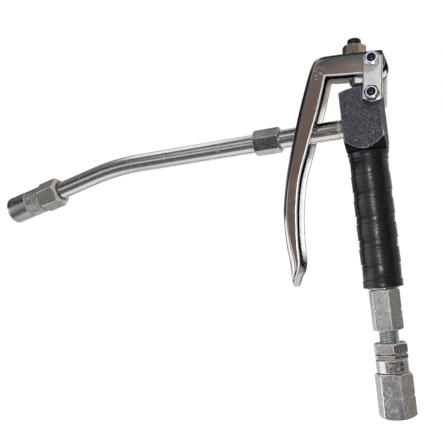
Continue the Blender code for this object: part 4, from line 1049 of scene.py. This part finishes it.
def make_pivot(looks, which, pivot, body):
    """A through bolt with a socket head at the back, and a self-locking nut in front."""
    place = pin_frame(pivot)
    turn = NUT_TURNS[which]
    foot = -NUT_SEAT
    hex_top = foot - NUT_HEX
    top = foot - NUT_HEIGHT
    outer = hex_rows(NUT_ACROSS, turn, foot, hex_top, 0.1, 0.15)
    rows = [(INSERT_INNER, foot)] + outer
    rows += [(NUT_COLLAR, hex_top - 0.1), (NUT_COLLAR, top + 0.6), (NUT_COLLAR - 0.08, top + 0.25),
             (NUT_COLLAR - 0.28, top + 0.05), (NUT_COLLAR - 0.5, top), (NUT_ROLL, top + 0.12),
             (NUT_ROLL, top + 0.45), (INSERT_OUTER, top + 0.5), (INSERT_OUTER, top + 1.2),
             (INSERT_INNER, top + 1.2)]
    angles = hex_angles(NUT_ACROSS, turn)
    shape = lathe(rows, angles)
    # The collar rows take the pale rim, a painted highlight
    first = (len(outer) + 1) * len(angles)
    for face in list(shape.faces)[first:first + COLLAR_ROWS * len(angles)]:
        face.material_index = 1
    # The lower nut, under the arm, takes the painted shade
    hexagon_look = looks["zinc_shade" if which == "lower" else "nut"]
    make_piece(which + "_lock_nut", shape, [hexagon_look, looks["rim"]], body,
               [which + "_pivot_nut"], place)
    rim = INSERT_OUTER - 0.03
    rows = [(rim, top + 1.1), (rim, top + 0.55), (NUT_ROLL - 0.03, top + 0.5),
            (NUT_ROLL - 0.05, top + 0.3),
            (INSERT_INNER + 0.05, top + 0.25), (INSERT_INNER, top + 0.4), (INSERT_INNER, top + 1.1)]
    make_piece(which + "_nylon_ring", lathe(rows, even_angles(sides=72)), looks["nylon"], body,
               [which + "_nut_insert"], place)

    head_top = NUT_SEAT + HEAD_HEIGHT
    socket = hexagon(4.0, turn)
    rows = [(0, head_top - 1.4), (2.6, head_top - 1.3, socket), (2.6, head_top - 0.1, socket),
            (2.5, head_top), (HEAD_RADIUS - 0.4, head_top), (HEAD_RADIUS, head_top - 0.4),
            (HEAD_RADIUS, NUT_SEAT), (BOLT_RADIUS, NUT_SEAT)]
    end = top + 0.55
    rows += [(BOLT_RADIUS, end + 0.6), (1.75, end + 0.25), (1.3, end), (0.7, end - 0.15), (0, end - 0.2)]
    make_piece(which + "_bolt", lathe(rows, hex_angles(4.0, turn)), looks["black"], body,
               [which + "_pivot_bolt"], place)


def make_top(looks):
    """Gland nut over the stem, and the adjusting screw with its lock nut on the lever."""
    rows = hex_rows(GLAND_ACROSS, GLAND_TURN, GLAND_TOP, GLAND_FOOT, 0.2, 0.1)
    rows = [(GLAND_BORE, GLAND_TOP - 0.2), (GLAND_BORE + 0.3, GLAND_TOP)] + rows
    rows.append((GLAND_BORE, GLAND_FOOT))
    make_piece("gland_hexagon", lathe(rows, hex_angles(GLAND_ACROSS, GLAND_TURN)), looks["nut"],
               "gun", ["gland_nut"])

    tilt = (math.sin(SCREW_TILT), 0, math.cos(SCREW_TILT))
    side = (math.cos(SCREW_TILT), 0, -math.sin(SCREW_TILT))
    place = axis_frame((SCREW_POINT[0], 0, SCREW_POINT[1]), tilt, side)
    rows = dome_rows(SCREW_END_RADIUS, SCREW_DOME, SCREW_TOP)
    rows += [(SCREW_END_RADIUS, SCREW_END_FOOT + 0.3), (SCREW_END_RADIUS - 0.3, SCREW_END_FOOT)]
    rows += thread_rows(SCREW_RADIUS, SCREW_END_FOOT - 0.2, SCREW_FOOT + 0.8, 0.9, 0.35)
    rows += [(SCREW_RADIUS - 0.7, SCREW_FOOT), (0, SCREW_FOOT)]
    make_piece("screw_threaded", lathe(rows, even_angles(sides=96)), looks["black"], "trigger",
               ["adjusting_screw"], place)
    bore = SCREW_RADIUS + 0.1
    rows = hex_rows(SCREW_NUT_ACROSS, SCREW_NUT_TURN, SCREW_NUT_TOP, SCREW_NUT_FOOT, 0.3, 0.2)
    rows = [(bore, SCREW_NUT_TOP - 0.4), (bore + 0.5, SCREW_NUT_TOP)] + rows + [(bore, SCREW_NUT_FOOT)]
    make_piece("screw_lock_nut", lathe(rows, hex_angles(SCREW_NUT_ACROSS, SCREW_NUT_TURN)),
               looks["gold_nut"], "trigger", ["adjusting_locknut"], place)


def smooth_stations(stations, steps):
    """A smooth run of stations through the given ones."""
    guides = [Vector(s) for s in stations]
    guides = [2 * guides[0] - guides[1]] + guides + [2 * guides[-1] - guides[-2]]
    run = []
    for a, b, c, d in zip(guides, guides[1:], guides[2:], guides[3:]):
        for step in range(steps):
            t = step / steps
            run.append(0.5 * (2 * b + (c - a) * t + (2 * a - 5 * b + 4 * c - d) * t ** 2
                              + (3 * b - a - 3 * c + d) * t ** 3))
    run.append(guides[-2])
    return run


def channel_half(depth, half, web, corner, rim):
    """Half a channel section as (depth, width) points, from the web's outside round to its inside."""
    wall = min(LEVER_WALL, half * 0.8)
    reach = depth - rim
    lean = min(LEVER_DRAFT * (reach - corner), half * 0.1)
    tip = half - lean
    points = [(0, 0), (0, (half - corner) * 0.5)]
    points += [(corner - corner * math.cos(a), half - corner + corner * math.sin(a))
               for a in [math.pi / 2 * i / 9 for i in range(10)]]
    points += [(corner + (reach - corner) * part, half - lean * part) for part in (0.33, 0.67, 1.0)]
    points += [(reach + rim * math.sin(a), tip - rim + rim * math.cos(a))
               for a in [math.pi / 2 * i / 5 for i in range(1, 6)]]
    inner_rim = 0.6 * rim
    points += [(depth - inner_rim + inner_rim * math.cos(a),
                tip - wall + inner_rim - inner_rim * math.sin(a))
               for a in [math.pi / 2 * i / 5 for i in range(6)]]
    bend = min(1.0, max(0.05, (depth - inner_rim - web) * 0.8), max(0.05, (half - wall) * 0.8))
    margin = min(BRIGHT_MARGIN, (depth - inner_rim - web - bend) * 0.6)
    part = margin / (depth - inner_rim - web - bend)
    points.append((depth - inner_rim - margin, tip - wall + lean * part))
    points += [(web + bend - bend * math.sin(a), half - wall - bend + bend * math.cos(a))
               for a in [math.pi / 2 * i / 4 for i in range(5)]]
    points.append((web, 0))
    return points


def make_lever(looks):
    """The trigger: a pressed channel that closes to a narrow tongue, with a slot for the neck."""
    rings = []
    for ox, oz, ix, iz in smooth_stations(LEVER_STATIONS, LEVER_STEPS):
        outer = Vector((ox, oz))
        inward = Vector((ix, iz)) - outer
        depth = inward.length
        inward.normalize()
        past = min(1.0, max(0.0, (TONGUE_START - oz) / TONGUE_LENGTH))
        half = max(TIP_HALF_LEAST, LEVER_HALF * math.sqrt(1 - past ** 2))
        rim = min(LEVER_RIM, depth * 0.25)
        fade = min(1.0, max(0.0, (CHANNEL_FADE[0] - oz) / (CHANNEL_FADE[0] - CHANNEL_FADE[1])))
        most = depth - 0.6 * rim - 0.06
        web = min(most, LEVER_WEB + (most - LEVER_WEB) * fade)
        rounder = min(1.0, max(0.0, (ROUNDING_START - oz) / (ROUNDING_START - ROUNDING_END)))
        corner = min(LEVER_CORNER + 1.6 * rounder, depth * (0.45 + 0.3 * rounder), half * 0.8)
        section = channel_half(depth, half, web, corner, rim)
        ring = []
        for way, points in ((-1, section), (1, section[-2:0:-1])):
            for along, width in points:
                place = outer + inward * along
                ring.append((place.x, way * width, place.y))
        rings.append(ring)
    shape = loft(rings)
    around = len(rings[0])
    # Each face takes its zone's material; the arm's end rings all take the painted shade
    for index, face in enumerate(list(shape.faces)[:-2]):
        place = index % around
        far = place >= around / 2
        zone = lever_zone(around - place - 1 if far else place, far)
        face.material_index = zone if index >= ARM_END_SHADED_RINGS * around else 3
    steps = 10
    top = arc((0, SLOT_TOP - SLOT_HALF), SLOT_HALF, 0, math.pi, steps)
    foot = arc((0, SLOT_FOOT + SLOT_HALF), SLOT_HALF, math.pi, TAU, steps)
    slot = loft([[(x, y, z) for y, z in top + foot] for x in (SLOT_LEFT, SLOT_RIGHT)])
    materials = [looks[key] for key in ("chrome", "rim", "bright", "deep")]
    shape = cut_away(shape, [slot], materials)
    make_piece("trigger_channel", shape, materials, "trigger", ["trigger_lever"])


def lever_zone(place, far):
    """The lever's material by place round half its section: skin, rim with a painted highlight, painted
    lit margin, painted shade deep inside.
    """
    if place < RIM_FIRST:
        return 0
    if place <= RIM_LAST:
        return 1
    return 2 if place == MARGIN_PLACE or (far and RIM_LAST + 2 < place < MARGIN_PLACE) else 3


def dress_cad(looks):
    """Materials for the CAD nodes that stay in sight or inside."""
    by_node = {
        "gland_collar": "black", "valve_stem": "nut", "handle_tube": "steel", "stem_packing": "seal",
        "valve_seat": "brass", "valve_ball": "spring", "spring_retainer": "brass",
        "swivel_oring": "seal", "swivel_clip": "spring", "coupler_plunger": "brass",
        "coupler_seal": "seal",
        "coupler_spring": "spring", "coupler_jaw_1": "steel", "coupler_jaw_2": "steel",
        "coupler_jaw_3": "steel", "coupler_jaw_4": "steel",
    }
    for node, look in by_node.items():
        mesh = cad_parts[node].data
        mesh.materials.clear()
        mesh.materials.append(looks[look])


FLOOR_HEIGHT = -0.30
FLOOR_HALF = 4.0
FLOOR_COLOUR = (0.45, 0.45, 0.45)
FLOOR_GLOW = 0.76

# The studio as reflections see it: patches of tone on a dim room, later ones over earlier ones.
# A patch spans azimuths from the front (-Y) towards +X and elevations, in degrees, with soft edges.
ROOM_TONE = (0.20, 0.19, 0.185)
PATCHES = [
    ("floor", -180, 180, -95, -60, 9, (1.0, 1.0, 1.0)),
    ("dark_below", -60, 60, -44, -13, 6, (0.115, 0.125, 0.13)),
    ("left_front_low", -50, -29, -12, 2, 4, (0.42, 0.415, 0.41)),
    ("adapter_front", -31, -16, -8, 3, 3, (0.98, 0.97, 0.97)),
    ("front_low", -26, -15, -17, -8, 3, (0.46, 0.43, 0.44)),
    ("brown_front", -9, 16, -8, 13, 3, (0.23, 0.16, 0.135)),
    ("front_pane", 5, 22, 13, 24, 3, (1.3, 1.3, 1.3)),
    ("window", -27, -11, 21, 35, 3, (1.0, 1.0, 1.03)),
    ("front_above", -60, 60, 40, 60, 8, (0.24, 0.21, 0.20)),
    ("ceiling", -180, 180, 62, 95, 6, (0.05, 0.05, 0.05)),
    ("overhead_left", -142, -52, 58, 72, 4, (1.35, 1.35, 1.42)),
    ("back_left_above", -172, -136, 38, 58, 4, (0.90, 0.90, 0.94)),
    ("left_upper", -130, -98, 36, 47, 4, (0.32, 0.32, 0.30)),
    ("left_middle", -66, -30, 10, 36, 4, (0.05, 0.048, 0.047)),
    ("nose_streak", -54, -32, 5, 13, 3, (0.72, 0.68, 0.64)),
    ("left_dark", -148, -64, 7, 36, 4, (0.012, 0.012, 0.012)),
    ("nut_left", -132, -118, 12, 19, 2, (0.55, 0.40, 0.32)),
    ("behind_low", -150, -110, -54, -26, 3, (0.66, 0.66, 0.65)),
    ("nut_below", -170, -154, -36, -26, 2, (2.4, 2.4, 2.36)),
    ("left_low", -165, -92, -30, -3, 4, (0.80, 0.80, 0.78)),
    ("left_white", -96, -46, -28, 5, 4, (1.50, 1.50, 1.50)),
    ("left_outline", -168, -94, -3, 6, 3, (0.42, 0.40, 0.46)),
    ("left_glow", -94, -52, -3, 6, 3, (1.50, 1.50, 1.55)),
    ("right_dark", 58, 88, -30, 5, 6, (0.08, 0.075, 0.07)),
    ("right_low", 90, 132, -30, 5, 8, (0.34, 0.33, 0.285)),
    ("right_above", 54, 96, 6, 52, 6, (0.03, 0.03, 0.03)),
    ("right_beige", 98, 150, 8, 40, 6, (0.88, 0.81, 0.70)),
    ("back_right", 140, 180, -40, 16, 6, (0.95, 0.95, 0.97)),
]
AMBIENT = (0.10, 0.10, 0.102)

# Suns, for matt surfaces only: azimuth and elevation of the light, softness in degrees, strength
SUNS = [
    ("key", 28, 34, 14, 2.4),
    ("front", 8, 3, 12, 0.9),
    ("fill", -55, 30, 40, 0.25),
    ("behind", 165, 35, 30, 0.8),
]

# The small lamp by the camera: place and aim in metres, size and power in watts
FLASH = ((0.012, -0.36, 0.02), (0.0, 0.0, 0.0), 0.06, 0.22)


class WorldNodes:
    """Short names for the world's nodes."""

    def __init__(self):
        world = bpy.data.worlds.new("studio")
        bpy.context.scene.world = world
        world.use_nodes = True
        self.tree = world.node_tree
        self.tree.nodes.clear()

    def node(self, kind, **settings):
        made = self.tree.nodes.new(kind)
        for name, value in settings.items():
            setattr(made, name, value)
        return made

    def link(self, output, socket):
        self.tree.links.new(output, socket)

    def sum(self, operation, first, second):
        made = self.node("ShaderNodeMath", operation=operation)
        for socket, value in zip(made.inputs, (first, second)):
            if isinstance(value, float):
                socket.default_value = value
            else:
                self.link(value, socket)
        return made.outputs[0]

    def window(self, value, low, high, soft):
        """1 between low and high, fading to 0 over a soft edge centred on each."""
        opening = self.share(value, low - soft / 2, low + soft / 2)
        return self.sum("MULTIPLY", opening, self.share(value, high + soft / 2, high - soft / 2))

    def share(self, value, low, high):
        made = self.node("ShaderNodeMapRange")
        made.inputs["From Min"].default_value = low
        made.inputs["From Max"].default_value = high
        self.link(value, made.inputs["Value"])
        return made.outputs["Result"]

    def mix(self, share, first, second):
        made = self.node("ShaderNodeMix", data_type="RGBA")
        self.link(share, made.inputs["Factor"])
        for socket, value in ((made.inputs[6], first), (made.inputs[7], second)):
            if isinstance(value, tuple):
                socket.default_value = (*value, 1.0)
            else:
                self.link(value, socket)
        return made.outputs[2]


def make_world():
    """White to the camera, a studio to reflections, and an even soft light to matt surfaces."""
    nodes = WorldNodes()
    direction = nodes.node("ShaderNodeSeparateXYZ")
    nodes.link(nodes.node("ShaderNodeTexCoord").outputs["Generated"], direction.inputs[0])
    x, y, z = direction.outputs
    degree = math.degrees(1.0)
    azimuth = nodes.sum("MULTIPLY", nodes.sum("ARCTAN2", x, nodes.sum("MULTIPLY", y, -1.0)), degree)
    elevation = nodes.sum("MULTIPLY", nodes.sum("ARCSINE", z, 0.0), degree)
    tone = ROOM_TONE
    for name, left, right, low, high, soft, colour in PATCHES:
        wide = nodes.window(azimuth, left, right, soft if right - left < 360 else 0.001)
        tall = nodes.window(elevation, low, high, soft)
        tone = nodes.mix(nodes.sum("MULTIPLY", wide, tall), tone, colour)
    rays = nodes.node("ShaderNodeLightPath")
    tone = nodes.mix(rays.outputs["Is Glossy Ray"], AMBIENT, tone)
    tone = nodes.mix(rays.outputs["Is Camera Ray"], tone, (1.0, 1.0, 1.0))
    background = nodes.node("ShaderNodeBackground")
    nodes.link(tone, background.inputs["Color"])
    nodes.link(background.outputs[0], nodes.node("ShaderNodeOutputWorld").inputs["Surface"])


def make_floor():
    """A plain pale floor below the part; its glow for the camera keeps it white outside the shadow."""
    mesh = bpy.data.meshes.new("floor")
    size = FLOOR_HALF
    corners = [(-size, -size, FLOOR_HEIGHT), (size, -size, FLOOR_HEIGHT), (size, size, FLOOR_HEIGHT),
               (-size, size, FLOOR_HEIGHT)]
    mesh.from_pydata(corners, [], [(0, 1, 2, 3)])
    floor = bpy.data.objects.new("floor", mesh)
    bpy.context.scene.collection.objects.link(floor)
    material = bpy.data.materials.new("pale_floor")
    material.use_nodes = True
    tree = material.node_tree
    shader = tree.nodes["Principled BSDF"]
    shader.inputs["Base Color"].default_value = (*FLOOR_COLOUR, 1.0)
    shader.inputs["Roughness"].default_value = 0.9
    rays = tree.nodes.new("ShaderNodeLightPath")
    glow = tree.nodes.new("ShaderNodeMath")
    glow.operation = "MULTIPLY"
    glow.inputs[1].default_value = FLOOR_GLOW
    tree.links.new(rays.outputs["Is Camera Ray"], glow.inputs[0])
    shader.inputs["Emission Color"].default_value = (1.0, 1.0, 1.0, 1.0)
    tree.links.new(glow.outputs[0], shader.inputs["Emission Strength"])
    mesh.materials.append(material)
    floor.visible_glossy = False


def make_lamps():
    for name, azimuth, elevation, softness, strength in SUNS:
        light = bpy.data.lights.new(name, "SUN")
        light.energy = strength
        light.angle = math.radians(softness)
        lamp = bpy.data.objects.new(name, light)
        around = math.radians(azimuth)
        up = math.radians(elevation)
        source = Vector((math.sin(around) * math.cos(up), -math.cos(around) * math.cos(up), math.sin(up)))
        lamp.rotation_euler = source.to_track_quat("Z", "Y").to_euler()
        lamp.location = source
        lamp.visible_glossy = False
        bpy.context.scene.collection.objects.link(lamp)
    place, aim, size, power = FLASH
    light = bpy.data.lights.new("flash", "AREA")
    light.shape = "DISK"
    light.size = size
    light.energy = power
    lamp = bpy.data.objects.new("flash", light)
    lamp.location = place
    lamp.rotation_euler = (Vector(aim) - Vector(place)).to_track_quat("-Z", "Y").to_euler()
    bpy.context.scene.collection.objects.link(lamp)


def make_camera():
    data = bpy.data.cameras.new("camera")
    data.sensor_width = CAMERA_SENSOR
    data.lens = CAMERA_FOCAL_PIXELS / IMAGE_SIZE * CAMERA_SENSOR
    data.shift_x = -CAMERA_NUDGE[0] / IMAGE_SIZE
    data.shift_y = CAMERA_NUDGE[1] / IMAGE_SIZE
    data.clip_start = 0.01
    camera = bpy.data.objects.new("camera", data)
    right = Vector(CAMERA_RIGHT)
    up = -Vector(CAMERA_DOWN)
    camera.matrix_world = axis_frame(CAMERA_PLACE, right.cross(up), right)
    bpy.context.scene.collection.objects.link(camera)
    bpy.context.scene.camera = camera


def main():
    make_camera()
    looks = make_looks()
    make_valve_body(looks)
    make_valve_spring(looks)
    make_grip(looks)
    make_inlet(looks)
    make_outlet(looks)
    make_links(looks)
    make_top(looks)
    make_lever(looks)
    dress_cad(looks)
    make_world()
    make_floor()
    make_lamps()
    bpy.context.scene.view_settings.view_transform = "Standard"


main()
